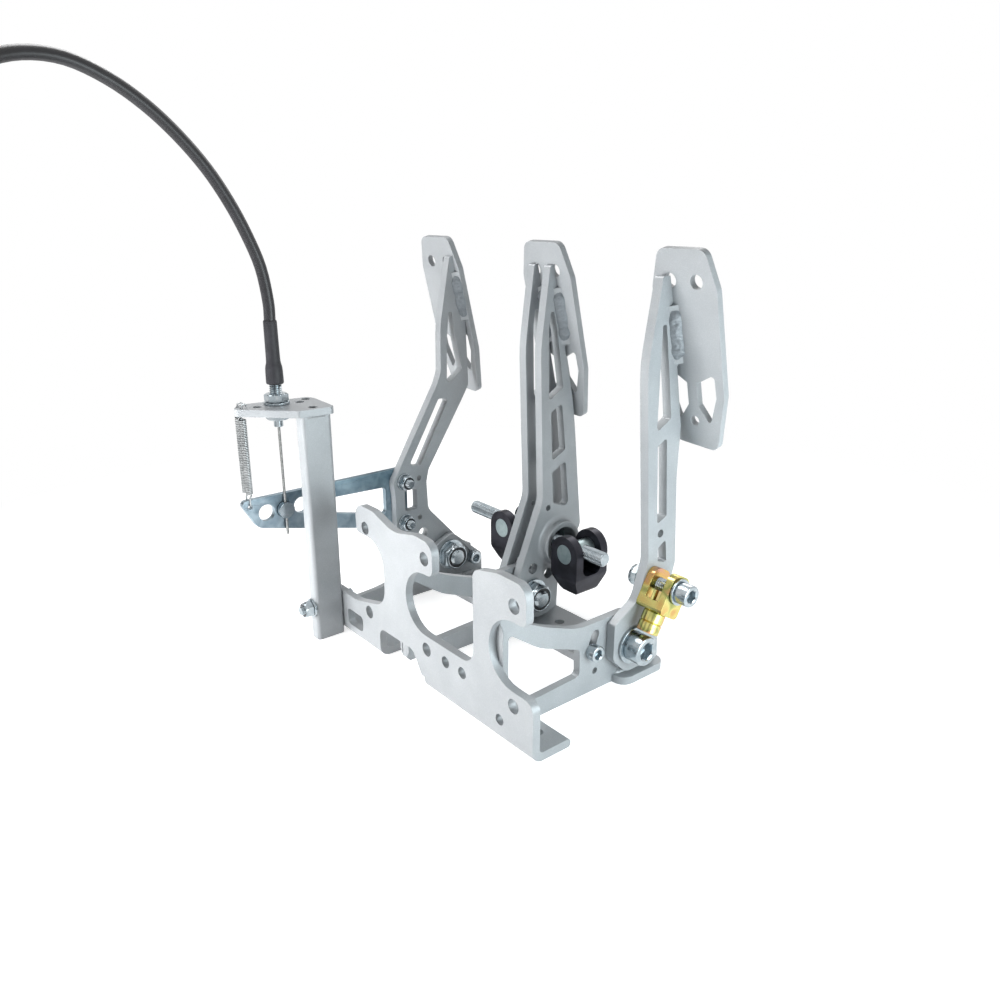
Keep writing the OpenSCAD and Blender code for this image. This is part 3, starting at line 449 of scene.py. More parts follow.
def screw_head(diameter, height, key, sides):
    """A socket head on Z from 0: a turned rim, a straight side and a hexagonal socket."""
    r = diameter / 2
    rim = 0.06 * diameter
    rings = [circle(r - 0.5 * rim, 0, sides), circle(r, 0.5 * rim, sides)]
    steps = 4
    for i in range(steps + 1):
        a = math.pi / 2 * i / steps
        rings.append(circle(r - rim * (1 - math.cos(a)), height - rim * (1 - math.sin(a)), sides))
    # The socket: its mouth just clears the hexagon's corners, and its floor is a drilled cone
    mouth = 1.04 * key / math.sqrt(3)
    rings.append(circle(mouth, height, sides))
    rings += hex_rings(key, [(height - 0.04 * diameter, key), (0.42 * height, key)], sides)
    rings.append(circle(0.2 * key, 0.36 * height, sides))
    return skin(rings)


def bead(start, end, wall_a, wall_b, leg, ripple, seed):
    """A hand-laid weld between two walls: legs that wander, curved ripples and a rough skin.

    The seed sets one bead apart from the next. In each noise, the last number keeps the toes, the
    ripples and the skin from wandering together."""
    start, end = Vector(start), Vector(end)
    wall_a, wall_b = Vector(wall_a).normalized(), Vector(wall_b).normalized()
    length = (end - start).length
    rows_per_ripple = 8
    rows = max(rows_per_ripple, round(length / ripple * rows_per_ripple))
    across = 9
    taper = 1.4 * leg
    rings = []
    for i in range(rows + 1):
        t = i / rows
        way = t * length
        # The bead swells up from each end, and each of its two toes wanders by itself
        rise = max(0.05, min(1, min(t, 1 - t) * length / taper) ** 0.7)
        toes = [rise * (1 + 0.3 * noise.noise(Vector((seed, way / leg, side)))) for side in (3, 8)]
        middle = start.lerp(end, t)
        # The root lies inside the walls' corner
        ring = [middle - 0.2 * leg * (wall_a + wall_b)]
        for k in range(across + 1):
            a = math.pi / 2 * k / across
            belly = math.sin(2 * a)
            # Each ripple lags at the belly, as the pool does, and the skin between them is rough
            beat = way / ripple - 0.45 * belly + 0.5 * noise.noise(Vector((seed, way / leg, 20)))
            swell = 0.9 + belly * (0.06 * abs(math.cos(math.pi * beat)) - 0.2)
            swell += 0.1 * belly * noise.noise(Vector((seed + 2 * a, way / (0.5 * leg), 40)))
            ring.append(middle + leg * swell * (
                toes[0] * math.cos(a) ** 0.85 * wall_a + toes[1] * max(0, math.sin(a)) ** 0.85 * wall_b
            ))
        rings.append(ring)
    return skin(rings)


# Nodes of the frame


def solids(node):
    """The corners of each separate solid in a CAD node, as lists of points."""
    mesh = frame["nodes"][node].data
    keys = {}
    index = []
    for v in mesh.vertices:
        key = tuple(round(c / (0.002 * MM)) for c in v.co)
        index.append(keys.setdefault(key, len(keys)))
    parent = list(range(len(keys)))

    def root(i):
        while parent[i] != i:
            parent[i] = parent[parent[i]]
            i = parent[i]
        return i

    for edge in mesh.edges:
        parent[root(index[edge.vertices[0]])] = root(index[edge.vertices[1]])
    groups = {}
    for v in mesh.vertices:
        groups.setdefault(root(index[v.index]), []).append(v.co.copy())
    return [groups[k] for k in sorted(groups)]


def extent(points):
    """The lowest and highest corners of a solid, and its middle."""
    low = Vector([min(p[i] for p in points) for i in range(3)])
    high = Vector([max(p[i] for p in points) for i in range(3)])
    return low, high, (low + high) / 2


def radius_near(points, axis, centre, low, high):
    """The largest radius of a solid between two places on its axis."""
    best = 0
    for p in points:
        if low <= p[axis] <= high:
            off = p - centre
            off[axis] = 0
            best = max(best, off.length)
    return best


# Materials


def srgb(text):
    """A hex colour as linear red, green, blue and alpha."""
    parts = [int(text[i:i + 2], 16) / 255 for i in (1, 3, 5)]
    linear = [c / 12.92 if c <= 0.04045 else ((c + 0.055) / 1.055) ** 2.4 for c in parts]
    return (*linear, 1)


def add_node(tree, kind, settings=None, links=None):
    """Adds a node, sets its inputs and properties, and links other nodes' outputs to its inputs."""
    new = tree.nodes.new(kind)
    for key, value in (settings or {}).items():
        if isinstance(key, str) and hasattr(new, key):
            setattr(new, key, value)
        else:
            new.inputs[key].default_value = value
    for key, output in (links or {}).items():
        tree.links.new(output, new.inputs[key])
    return new


def start_material(name, settings):
    """A new material, its tree, its Principled shader and the places on the object."""
    material = bpy.data.materials.new(name)
    material.use_nodes = True
    tree = material.node_tree
    shader = tree.nodes["Principled BSDF"]
    for key, value in settings.items():
        shader.inputs[key].default_value = value
    return material, tree, shader, add_node(tree, "ShaderNodeTexCoord").outputs["Object"]


def surfaced(tree, shader, where, tone, stops, grain, gloss=None):
    """Gives a shader its colours, its fine relief and, where it varies, its roughness.

    The colours follow the tone, from stops that each hold a place and a hex colour. The grain holds
    the relief's size, height, strength and detail, and the gloss its pattern and its least and
    greatest roughness."""
    ramp = add_node(tree, "ShaderNodeValToRGB", {}, {"Fac": tone})
    elements = ramp.color_ramp.elements
    while len(elements) < len(stops):
        elements.new(0.5)
    for element, (place, colour) in zip(elements, stops):
        element.position = place
        element.color = srgb(colour)
    tree.links.new(ramp.outputs["Color"], shader.inputs["Base Color"])
    if gloss:
        pattern, low, high = gloss
        rough = add_node(tree, "ShaderNodeMapRange", {"To Min": low, "To Max": high}, {"Value": pattern})
        tree.links.new(rough.outputs["Result"], shader.inputs["Roughness"])
    size, height, strength, detail = grain
    relief = add_node(tree, "ShaderNodeTexNoise", {"Scale": 1 / size, "Detail": detail}, {"Vector": where})
    bump = add_node(tree, "ShaderNodeBump", {"Strength": strength, "Distance": height},
                    {"Height": relief.outputs["Fac"]})
    tree.links.new(bump.outputs["Normal"], shader.inputs["Normal"])
    return ramp.outputs["Color"]


def powder_coat(name, colour, lighter, darker):
    """Silver-grey polyester powder coat on steel: soft gloss, fine flake and orange peel."""
    # The flake gives a faint sparkle, and the coat's skin of resin the broad highlight
    material, tree, shader, where = start_material(
        name, {"Metallic": 0.15, "IOR": 1.5, "Coat Weight": 0.15, "Coat Roughness": 0.25}
    )
    # Flakes are 0.05 mm across, and are drawn 0.5 mm across so that they show
    flake = add_node(tree, "ShaderNodeTexVoronoi", {"Scale": 1 / (0.5 * MM)}, {"Vector": where})
    # The coat's thickness varies over about 22 mm
    cloud = add_node(tree, "ShaderNodeTexNoise", {"Scale": 1 / (22 * MM), "Detail": 3}, {"Vector": where})
    tone = add_node(tree, "ShaderNodeMix", {"data_type": "FLOAT", 0: 0.35},
                    {2: cloud.outputs["Fac"], 3: flake.outputs["Distance"]})
    # Orange peel has waves about 1.2 mm long
    surfaced(tree, shader, where, tone.outputs[0], [(0.25, darker), (0.5, colour), (0.75, lighter)],
             (1.2 * MM, 0.02 * MM, 0.6, 3), (cloud.outputs["Fac"], 0.34, 0.46))
    return material


def zinc(name, pale, deep, roughness, cloud_size, colour_layer=None):
    """Metal such as passivated zinc plate: bright, with clouds of a cooler tone, and perhaps painted shade
    that darkens it along one direction.
    """
    # Bare metal tints what it mirrors, and the clouds break the mirrored shapes up
    material, tree, shader, where = start_material(name, {"Metallic": 1.0})
    cloud = add_node(tree, "ShaderNodeTexNoise", {"Scale": 1 / cloud_size, "Detail": 4, "Distortion": 0.6},
                     {"Vector": where})
    # Plating shows the steel's grain, about 0.4 mm
    tone = surfaced(tree, shader, where, cloud.outputs["Fac"], [(0.35, deep), (0.65, pale)],
                    (0.4 * MM, 0.006 * MM, 0.5, 2),
                    (cloud.outputs["Fac"], roughness - 0.06, roughness + 0.12))
    if colour_layer:
        # Painted shade: the colour darkens along a direction, from one distance to another
        way, start, end, colour = colour_layer
        along = add_node(tree, "ShaderNodeVectorMath", {"operation": "DOT_PRODUCT", 1: way}, {0: where})
        depth = add_node(tree, "ShaderNodeMapRange", {"From Min": start, "From Max": end},
                         {"Value": along.outputs["Value"]})
        painted_shade_tint = add_node(tree, "ShaderNodeMix",
                        {"data_type": "RGBA", "blend_type": "MULTIPLY", 7: srgb(colour)},
                        {0: depth.outputs["Result"], 6: tone})
        tree.links.new(painted_shade_tint.outputs[2], shader.inputs["Base Color"])
    return material


def yellow_zinc(name):
    """Yellow chromate on zinc: gold with rosy and olive bands where the film's depth varies."""
    # The clear film bends light by its thickness, so the metal under it gleams in several hues
    material, tree, shader, where = start_material(name, {"Metallic": 1.0, "Roughness": 0.2})
    # The film's bands are about 16 mm wide
    colour_layer = add_node(tree, "ShaderNodeTexNoise", {"Scale": 1 / (16 * MM), "Detail": 1, "Distortion": 0.8},
                    {"Vector": where})
    bands = [(0.28, "#CC9A82"), (0.4, "#D0A964"), (0.5, "#D2C87E"), (0.6, "#9A9F5E"), (0.72, "#CB9970")]
    # Milling left a grain of about 0.5 mm
    surfaced(tree, shader, where, colour_layer.outputs["Fac"], bands, (0.5 * MM, 0.005 * MM, 0.3, 2))
    return material


def black_oxide(name):
    """Black oxide on machined steel: nearly black, slightly oily."""
    # The oxide is a thin dark skin that soaks up oil, so it gleams softly where the oil lies
    material, tree, shader, where = start_material(name, {"Metallic": 0.75})
    # The oil lies in patches of about 9 mm
    oil = add_node(tree, "ShaderNodeTexNoise", {"Scale": 1 / (9 * MM), "Detail": 4}, {"Vector": where})
    # Machining left a grain of about 0.5 mm
    surfaced(tree, shader, where, oil.outputs["Fac"], [(0.35, "#2A2A30"), (0.65, "#3A3A42")],
             (0.5 * MM, 0.008 * MM, 0.5, 2), (oil.outputs["Fac"], 0.24, 0.46))
    return material


def polymer(name, colour, lighter, roughness, grain, height):
    """Moulded or extruded rubber or nylon: matt, with a fine skin."""
    # Dark filler takes in most light, and the skin spreads the rest into a wide, dull highlight
    material, tree, shader, where = start_material(name, {"Roughness": roughness, "IOR": 1.52})
    # Handling leaves paler patches of about 6 mm
    bloom = add_node(tree, "ShaderNodeTexNoise", {"Scale": 1 / (6 * MM), "Detail": 3}, {"Vector": where})
    surfaced(tree, shader, where, bloom.outputs["Fac"], [(0.35, colour), (0.7, lighter)],
             (grain, height, 0.6, 2))
    return material


def bronze(name):
    """Sintered bronze: dull gold-brown with fine pores."""
    # The pressed powder keeps pores full of oil, which dull the metal's gleam
    material, tree, shader, where = start_material(name, {"Metallic": 1.0, "Roughness": 0.42})
    # Pores are 0.05 mm across, and are drawn 0.6 mm apart so that they show
    pores = add_node(tree, "ShaderNodeTexVoronoi", {"Scale": 1 / (0.6 * MM)}, {"Vector": where})
    surfaced(tree, shader, where, pores.outputs["Distance"], [(0.1, "#6E5230"), (0.4, "#A47F4C")],
             (0.6 * MM, 0.02 * MM, 0.5, 2))
    return material


def finishes(settings):
    """Every material, by the name of its slot in the record, or by a name of its own."""
    return {
        "powder_coat": powder_coat("silver_powder_coat", settings.coat, "#B2B6B9", "#9DA1A5"),
        # Painted shade: the beads get a darker copy of the powder coat, for the shade in their rough ripples
        "painted_shade_weld_finish": powder_coat("painted_shade_coat_over_welds", "#7F858A", "#8D9398", "#6F757A"),
        # Painted shade: the lever's colour darkens up its upper part, where its faces fall into shade
        "zinc_plate": zinc("blue_zinc_plate", settings.blue_zinc, "#8799A5", 0.3, 9 * MM,
                           ((0, -0.3, 1), 50 * MM, 75 * MM, "#BCCBD1")),
        "zinc_fastener": zinc("bright_zinc_plate", settings.zinc, "#9FAAB0", 0.16, 5 * MM),
        "yellow_zinc": yellow_zinc("yellow_chromate_zinc"),
        "black_oxide": black_oxide("black_oxide_steel"),
        "bearing_steel": zinc("ground_steel", "#AAB8B9", "#98A8AA", 0.3, 4 * MM),
        "bronze": bronze("sintered_bronze"),
        "black_rubber": polymer("moulded_rubber", "#232327", "#2C2C31", 0.55, 0.8 * MM, 0.02 * MM),
        "black_sheath": polymer("extruded_sheath", "#1E1E21", "#27272B", 0.38, 1.5 * MM, 0.01 * MM),
        "wire_rope": zinc("steel_wire_rope", "#B4B5B4", "#8E908F", 0.35, 2 * MM),
        "spring_steel": zinc("zinc_spring_wire", "#CBCECF", "#B2B5B6", 0.36, 3 * MM),
        "nylon": polymer("black_nylon", "#15181C", "#1E2328", 0.4, 0.6 * MM, 0.01 * MM),
    }


# Finishes that share a slot of the record
FINISH = {}


def finish_of(slot):
    """A material by its slot's name. All are made once."""
    if not FINISH:
        FINISH.update(finishes(bpy.context.scene.pedal_finish))
    return FINISH[slot]


def dress(piece, slot, body=None, replaces=()):
    """Gives a piece its finish and its body, and hides the CAD nodes that it stands for.

    A piece that runs between two bodies has none of its own here."""
    piece.data.materials.clear()
    piece.data.materials.append(finish_of(slot))
    if body:
        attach(piece, body)
    if replaces:
        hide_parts(*replaces)
    return piece


def body_of_node(node):
    """The body that holds a CAD node."""
    bodies = frame["record"]["behaviour"]["bodies"]
    return next(body for body, nodes in bodies.items() if node in nodes)


# Pieces


class PEDALS_OT_frame_finish(bpy.types.Operator):
    """Coats every CAD node and rounds its edges"""

    bl_idname = "pedals.frame_finish"
    bl_label = "Finish the frame"

    def execute(self, context):
        settings = context.scene.pedal_finish
        for subpart in frame["record"]["subparts"]:
            node = frame["nodes"][subpart["node"]]
            slot = subpart["material_slot"]
            node.data.materials.clear()
            node.data.materials.append(finish_of(slot))
            soft = slot in ("powder_coat", "yellow_zinc")
            self.round_edges(node, settings.edge_round if soft else settings.machined_round)
        return {"FINISHED"}

    def round_edges(self, node, radius):
        """Welds the faces' shared corners and rounds the sharp edges, without touching the mesh."""
        weld = node.modifiers.new("Joined faces", "WELD")
        weld.merge_threshold = WELD_DISTANCE
        bevel = node.modifiers.new("Rounded edges", "BEVEL")
        bevel.width = radius
        bevel.segments = 2
        bevel.limit_method = "ANGLE"
        # A round face's own corners turn by less than this, and stay as they are
        bevel.angle_limit = math.radians(40)
        bevel.use_clamp_overlap = True
        bevel.harden_normals = False
        normals = node.modifiers.new("Flat faces", "WEIGHTED_NORMAL")
        normals.keep_sharp = False
        normals.weight = 80


class PEDALS_OT_screws(bpy.types.Operator):
    """Builds the socket screws with their threads"""

    bl_idname = "pedals.screws"
    bl_label = "Screws"

    def execute(self, context):
        hardware = context.scene.pedal_hardware
        for node in ("pivot_bolts", "stop_bolts", "lever_bolts", "clevis_bolt"):
            parts = [self.screw(points, hardware) for points in solids(node)]
            piece = link_mesh(node.replace("bolt", "screw"), *merge(parts), THREAD_SHARP)
            dress(piece, "zinc_fastener", body_of_node(node), [node])
        return {"FINISHED"}

    def screw(self, points, hardware):
        """One screw along X where its solid lies, with its head at its wider end."""
        low, high, centre = extent(points)
        wide = radius_near(points, 0, centre, low.x, high.x)
        # The corners that lie furthest out are the head's
        rim = [p.x for p in points if (p - centre).yz.length > 0.97 * wide]
        head_low = sum(rim) / len(rim) < centre.x
        way = Vector((-1 if head_low else 1, 0, 0))
        tip = high.x if head_low else low.x
        seat = Vector((max(rim) if head_low else min(rim), centre.y, centre.z))
        head_height = abs((low.x if head_low else high.x) - seat.x)
        clear_of_head = 0.3 * MM
        shank = max((p - centre).yz.length for p in points if (p.x - seat.x) * -way.x > clear_of_head)
        # The socket's hexagon is a little wider than half the head
        key = 1.1 * wide
        length = abs(tip - seat.x) + SHANK_OVERLAP
        return merge([
            placed(screw_head(2 * wide, head_height, key, hardware.sides), basis(seat, way)),
            placed(thread(shank, length, hardware.bolt_pitch, lead=0.25 * shank),
                   basis(seat + SHANK_OVERLAP * way, -way)),
        ])


class PEDALS_OT_nuts(bpy.types.Operator):
    """Builds the nuts, the bolt through the tower, the clevis's collars and the cable's adjuster"""

    bl_idname = "pedals.nuts"
    bl_label = "Nuts"

    def execute(self, context):
        sides = context.scene.pedal_hardware.sides
        for nuts, screws in (("pivot_nuts", "pivot_bolts"), ("clevis_nut", "clevis_bolt"),
                             ("stop_nuts", "stop_bolts"), ("lever_nuts", "lever_bolts")):
            self.lock_nuts(nuts, screws, sides)
        self.tower_bolt(sides)
        self.clevis_collars(sides)
        self.adjuster(sides)
        return {"FINISHED"}

    def tower_bolt(self, sides):
        """The bolt that runs through the tower along Y, its washer and its lock nut."""
        forward = Vector((0, 1, 0))
        across = SMALL_NUT_ACROSS * MM
        low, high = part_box("tower_bolt")
        centre = (low + high) / 2
        # The last millimetre of the solid is shank alone
        radius = radius_near(solids("tower_bolt")[0], 1, centre, high.y - MM, high.y)
        head_height = TOWER_HEAD_HEIGHT * MM
        head = skin(hex_rings(across, chamfer_rows(across, head_height, both=False), sides))
        back = Vector((centre.x, low.y + head_height, centre.z))
        length = high.y - back.y + SHANK_OVERLAP
        shank = thread(radius, length, TOWER_BOLT_PITCH * MM)
        bolt = [placed(head, basis(back, -forward)),
                placed(shank, basis(back - SHANK_OVERLAP * forward, forward))]
        dress(link_mesh("tower_screw", *merge(bolt), THREAD_SHARP), "zinc_fastener", "frame",
              ["tower_bolt"])
        low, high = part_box("tower_nut")
        bore = min((p - centre).xz.length for p in solids("tower_nut")[0])
        seat = Vector((centre.x, low.y, centre.z))
        face = seat + WASHER_HEIGHT * MM * forward
        height = high.y - face.y
        washer = flat_ring(bore, (high.x - low.x) / 2, WASHER_HEIGHT * MM, sides)
        nut = [placed(washer, basis(seat, forward)),
               placed(collar_nut(across, height, bore, sides), basis(face, forward))]
        ring = placed(insert_ring(across, height, bore, sides), basis(face, forward))
        dress(link_mesh("tower_lock_nut", *merge(nut)), "zinc_fastener", "frame", ["tower_nut"])
        dress(link_mesh("tower_nut_insert", *ring), "nylon", "frame")

    def clevis_collars(self, sides):
        """The two turned collars on the clutch clevis: a lock ring, and the adaptor with its stem."""
        rim = COLLAR_RADIUS - COLLAR_EDGE
        lock_bore = COLLAR_STEM + 0.05
        lock = [(lock_bore, LOCK_COLLAR_START), (rim, LOCK_COLLAR_START),
                (COLLAR_RADIUS, LOCK_COLLAR_START + COLLAR_EDGE),
                (COLLAR_RADIUS, LOCK_COLLAR_END - COLLAR_EDGE),
                (rim, LOCK_COLLAR_END), (lock_bore, LOCK_COLLAR_END)]
        adaptor = [(COLLAR_BORE, STEM_START), (COLLAR_STEM, STEM_START), (COLLAR_STEM, LOCK_COLLAR_END),
                   (rim, LOCK_COLLAR_END), (COLLAR_RADIUS, LOCK_COLLAR_END + COLLAR_EDGE),
                   (COLLAR_RADIUS, ADAPTOR_END - COLLAR_EDGE), (rim, ADAPTOR_END),
                   (COLLAR_BORE + COLLAR_SINK, ADAPTOR_END), (COLLAR_BORE, ADAPTOR_END - COLLAR_SINK)]
        for name, node, outline in (("clevis_lock_collar", "clevis_lock_nut", lock),
                                    ("clevis_adaptor_collar", "clevis_adaptor", adaptor)):
            rows = [(r * MM, h * MM) for r, h in outline + outline[:1]]
            piece = placed(turned(rows, sides), basis(CLEVIS_BOLT * MM, CLEVIS_WAY))
            dress(link_mesh(name, *piece), "yellow_zinc", body_of_node(node), [node])

    def lock_nuts(self, node, screws, sides):
        """Lock nuts along X, each with its collar away from its screw's head."""
        stems = [extent(points)[2] for points in solids(screws)]
        nuts, rings = [], []
        for points in solids(node):
            low, high, centre = extent(points)
            # Its screw is the one on the same line, and the nearer one where several are
            stem = min(stems, key=lambda m: (m - centre).yz.length + 0.2 * abs(m.x - centre.x))
            away = 1 if centre.x > stem.x else -1
            slack = 0.02 * MM
            bore = min((p - centre).yz.length for p in points) + slack
            seat = Vector((low.x if away > 0 else high.x, centre.y, centre.z))
            height = high.x - low.x
            if node == "lever_nuts":
                # Each of these stands on its own washer, which the solid holds too
                washer = flat_ring(bore, (high.z - low.z) / 2, WASHER_HEIGHT * MM, sides)
                nuts.append(placed(washer, basis(seat, (away, 0, 0))))
                seat.x += away * WASHER_HEIGHT * MM
                height -= WASHER_HEIGHT * MM
                across, up = SMALL_NUT_ACROSS * MM, (0, 1, 0)
            else:
                across = min(high.y - low.y, high.z - low.z)
                up = (0, 0, 1) if high.z - low.z > high.y - low.y else (0, 1, 0)
            where = basis(seat, (away, 0, 0), up)
            nuts.append(placed(collar_nut(across, height, bore, sides), where))
            rings.append(placed(insert_ring(across, height, bore, sides), where))
        body = body_of_node(node)
        dress(link_mesh(node.replace("nut", "lock_nut"), *merge(nuts)), "zinc_fastener", body, [node])
        dress(link_mesh(node.replace("nut", "nut_insert"), *merge(rings)), "nylon", body)

    def adjuster(self, sides):
        """The threaded tube at the top of the tower, its slim nose and its two nuts."""
        low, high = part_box("cable_adjuster")
        centre = (low + high) / 2
        radius = (high.x - low.x) / 2
        nose = [(NOSE_BORE, low.z), (NOSE_TIP, low.z), (NOSE_RADIUS, low.z + NOSE_CHAMFER * MM),
                (NOSE_RADIUS, high.z), (NOSE_BORE, high.z), (NOSE_BORE, low.z)]
        nose = turned([(r * MM, h) for r, h in nose], sides=48)
        foot = Vector((centre.x, centre.y, ADJUSTER_FOOT * MM))
        rod = thread(radius, ADJUSTER_LENGTH * MM, ADJUSTER_PITCH * MM)
        parts = [placed(nose, Matrix.Translation((centre.x, centre.y, 0))),
                 placed(rod, basis(foot, (0, 0, 1)))]
        dress(link_mesh("threaded_adjuster", *merge(parts), THREAD_SHARP), "zinc_fastener", "frame",
              ["cable_adjuster"])
        # The lower nut is a long one: it reaches further down, and leaves a turn of thread bare
        extra, bare_turn, lower_reach = 2 * MM, 0.8 * MM, 8 * MM
        nuts = []
        for points in solids("adjuster_nuts"):
            low, high, centre = extent(points)
            across = min(high.x - low.x, high.y - low.y)
            bore = min((p - centre).xy.length for p in points)
            up = (1, 0, 0) if high.x - low.x > high.y - low.y else (0, 1, 0)
            base = low.z
            if low.z < foot.z + lower_reach:
                base = max(foot.z + bare_turn, low.z - extra)
            nuts.append(placed(plain_nut(across, high.z - base, bore, sides),
                               basis((centre.x, centre.y, base), (0, 0, 1), up)))
        dress(link_mesh("adjuster_lock_nuts", *merge(nuts)), "zinc_fastener", "frame", ["adjuster_nuts"])


# The pads' welds, in millimetres: the pad, its arms, the Y of the pad's front face at its
# foot, and where the weld starts and ends along the face
PAD_WELDS = (
    ("clutch_pad", ("clutch_arm",), -37.8, 50, 83),
    ("brake_pad", ("brake_arm_left", "brake_arm_right"), -37.4, 50, 86),
    ("throttle_pad", ("throttle_arm",), -33.9, 56, 90),
)
PAD_WELD_RIPPLE = 2.6
SEAM_RIPPLE = 2.2
# The ribs' seams: how high each one's weld to the front plate starts and ends, and where
# its weld to the foot plate starts and ends in Y
PLATE_SEAMS = {"clutch_rib": (9, 66), "brake_rib": (9, 66), "throttle_rib": None}
FOOT_SEAM = (-27, 7.5)
TUBE_WELD_LEG = 3.4
TUBE_WELD_ROOT = -0.3


class PEDALS_OT_welds(bpy.types.Operator):
    """Lays the welds of the pads, the balance tube and the frame"""

    bl_idname = "pedals.welds"
    bl_label = "Welds"

    def execute(self, context):
        hardware = context.scene.pedal_hardware
        for pad, arms, face_y, low, high in PAD_WELDS:
            beads = self.pad_welds(arms, face_y, low, high, hardware.weld_leg)
            piece = link_mesh(pad + "_welds", *merge(beads), WELD_SHARP)
            # The beads' darker coat is painted shade
            dress(piece, "painted_shade_weld_finish", body_of_node(pad))
        dress(self.tube_weld(hardware.sides), "powder_coat", "brake_pedal")
        dress(self.frame_seams(hardware.seam_leg), "powder_coat", "frame")
        return {"FINISHED"}

    def pad_welds(self, arms, face_y, low, high, leg):
        """Two beads for each arm, in the corners between its sides and the pad."""
        up = Vector((0, math.sin(PAD_TILT), math.cos(PAD_TILT)))
        out = Vector((0, math.cos(PAD_TILT), -math.sin(PAD_TILT)))
        foot = Vector((0, face_y, PAD_FOOT_HEIGHT)) * MM
        beads = []
        for arm in arms:
            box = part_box(arm)
            for x, side in ((box[0].x, -1), (box[1].x, 1)):
                # The ends taper off, so the bead runs on by a millimetre at each
                start = foot + up * (low - 1) * MM
                end = foot + up * (high + 1) * MM
                start.x = end.x = x
                beads.append(bead(start, end, (side, 0, 0), out, leg, PAD_WELD_RIPPLE * MM, x * 100 + side))
        return beads

    def tube_weld(self, sides):
        """A ring round the balance tube on the outer face of each brake arm."""
        rings = []
        for arm, side in (("brake_arm_left", 1), ("brake_arm_right", -1)):
            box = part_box(arm)
            x = box[1].x if side > 0 else box[0].x
            leg = TUBE_WELD_LEG * MM
            radius = BALANCE_TUBE_RADIUS * MM
            root = TUBE_WELD_ROOT * MM
            profile = [(radius + root, root), (radius + leg, root)]
            steps = 8
            for i in range(steps + 1):
                a = math.pi / 2 * i / steps
                profile.append((radius + leg * (1 - math.sin(a)), leg * (1 - math.cos(a))))
            profile.append((radius + root, leg))
            ring = turned(profile + profile[:1], sides)
            where = basis((x, BALANCE_TUBE.y * MM, BALANCE_TUBE.z * MM), (side, 0, 0))
            rings.append(placed(ring, where))
        return link_mesh("balance_tube_welds", *merge(rings), TUBE_WELD_SHARP)

    def frame_seams(self, leg):
        """Fillets between the ribs, the front plate, the foot plate and the tower."""
        beads = []
        ripple = SEAM_RIPPLE * MM
        for rib, plate_seam in PLATE_SEAMS.items():
            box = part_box(rib)
            for x, side in ((box[0].x, -1), (box[1].x, 1)):
                lines = []
                if plate_seam:
                    lines.append([(PLATE_BACK, z) for z in plate_seam] + [(0, -1, 0)])
                lines.append([(y, FOOT_TOP) for y in FOOT_SEAM] + [(0, 0, 1)])
                for start, end, wall in lines:
                    beads.append(bead(
                        (x, start[0] * MM, start[1] * MM), (x, end[0] * MM, end[1] * MM),
                        (side, 0, 0), wall, leg, ripple, x * 90 + start[1],
                    ))
        # The tower's welds lie under its top plate and stop short of the tube's round corners
        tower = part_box("tower_tube")
        corner = 2.5 * MM
        for x, side in ((tower[0].x, -1), (tower[1].x, 1)):
            beads.append(bead(
                (x, tower[0].y + corner, tower[1].z), (x, tower[1].y - corner, tower[1].z),
                (side, 0, 0), (0, 0, -1), 0.7 * leg, ripple, x * 80,
            ))
        return link_mesh("frame_welds", *merge(beads), WELD_SHARP)


class PEDALS_OT_balance_bar(bpy.types.Operator):
    """Cuts the thread of the balance bar"""

    bl_idname = "pedals.balance_bar"
    bl_label = "Balance bar"

    def execute(self, context):
        hardware = context.scene.pedal_hardware
        low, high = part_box("balance_bar")
        centre = (low + high) / 2
        radius = (high.z - low.z) / 2
        halves = []
        for end in (low.x, high.x):
            way = Vector((1 if end > centre.x else -1, 0, 0))
            rod = thread(radius, abs(end - centre.x), hardware.bar_pitch, lead=MM)
            halves.append(placed(rod, basis(centre, way)))
        piece = link_mesh("threaded_balance_bar", *merge(halves), THREAD_SHARP)
        dress(piece, "zinc_fastener", "bar", ["balance_bar"])
        return {"FINISHED"}


class PEDALS_OT_cable(bpy.types.Operator):
    """Runs the throttle cable from its boot to its coil on the floor"""

    bl_idname = "pedals.cable"
    bl_label = "Throttle cable"

    def execute(self, context):
        settings = context.scene.pedal_cable
        free = [Vector(p) * MM for p in CABLE_ROUTE]
        points = smooth_line(free, steps=4)[:-1] + self.coil(free[-1])
        curve = bpy.data.curves.new("throttle_cable_sheath", "CURVE")
        curve.dimensions = "3D"
        curve.bevel_depth = settings.sheath / 2
        curve.bevel_resolution = 6
        curve.use_fill_caps = True
        spline = curve.splines.new("POLY")
        spline.points.add(len(points) - 1)
        for point, place in zip(spline.points, points):
            point.co = (*place, 1)
        spline.use_smooth = True
        sheath = bpy.data.objects.new("throttle_cable_sheath", curve)
        context.scene.collection.objects.link(sheath)
        dress(sheath, "black_sheath", "frame", ["throttle_cable", "throttle_cable_coil"])
        return {"FINISHED"}

    def coil(self, start):
        """The coil's turns: in on the floor, and out again one layer up."""
        lead = COIL_LEAD * MM
        centre = start + Vector((lead, COIL_RADIUS * MM, 0))
        steps = round(COIL_TURNS * COIL_STEPS)
        places = [start]
        for i in range(steps + 1):
            t = COIL_TURNS * i / steps
            back = t if t < COIL_TURN_BACK else 2 * COIL_TURN_BACK - t
            r = (COIL_RADIUS - COIL_PITCH * back) * MM
            s = min(max((t - COIL_TURN_BACK + COIL_CLIMB / 2) / COIL_CLIMB, 0), 1)
            rise = COIL_PITCH * MM * s * s * (3 - 2 * s)
            places.append(centre + Vector((r * math.sin(math.tau * t), -r * math.cos(math.tau * t), rise)))
        places.append(places[-1] + lead * (places[-1] - places[-2]).normalized())
        return places


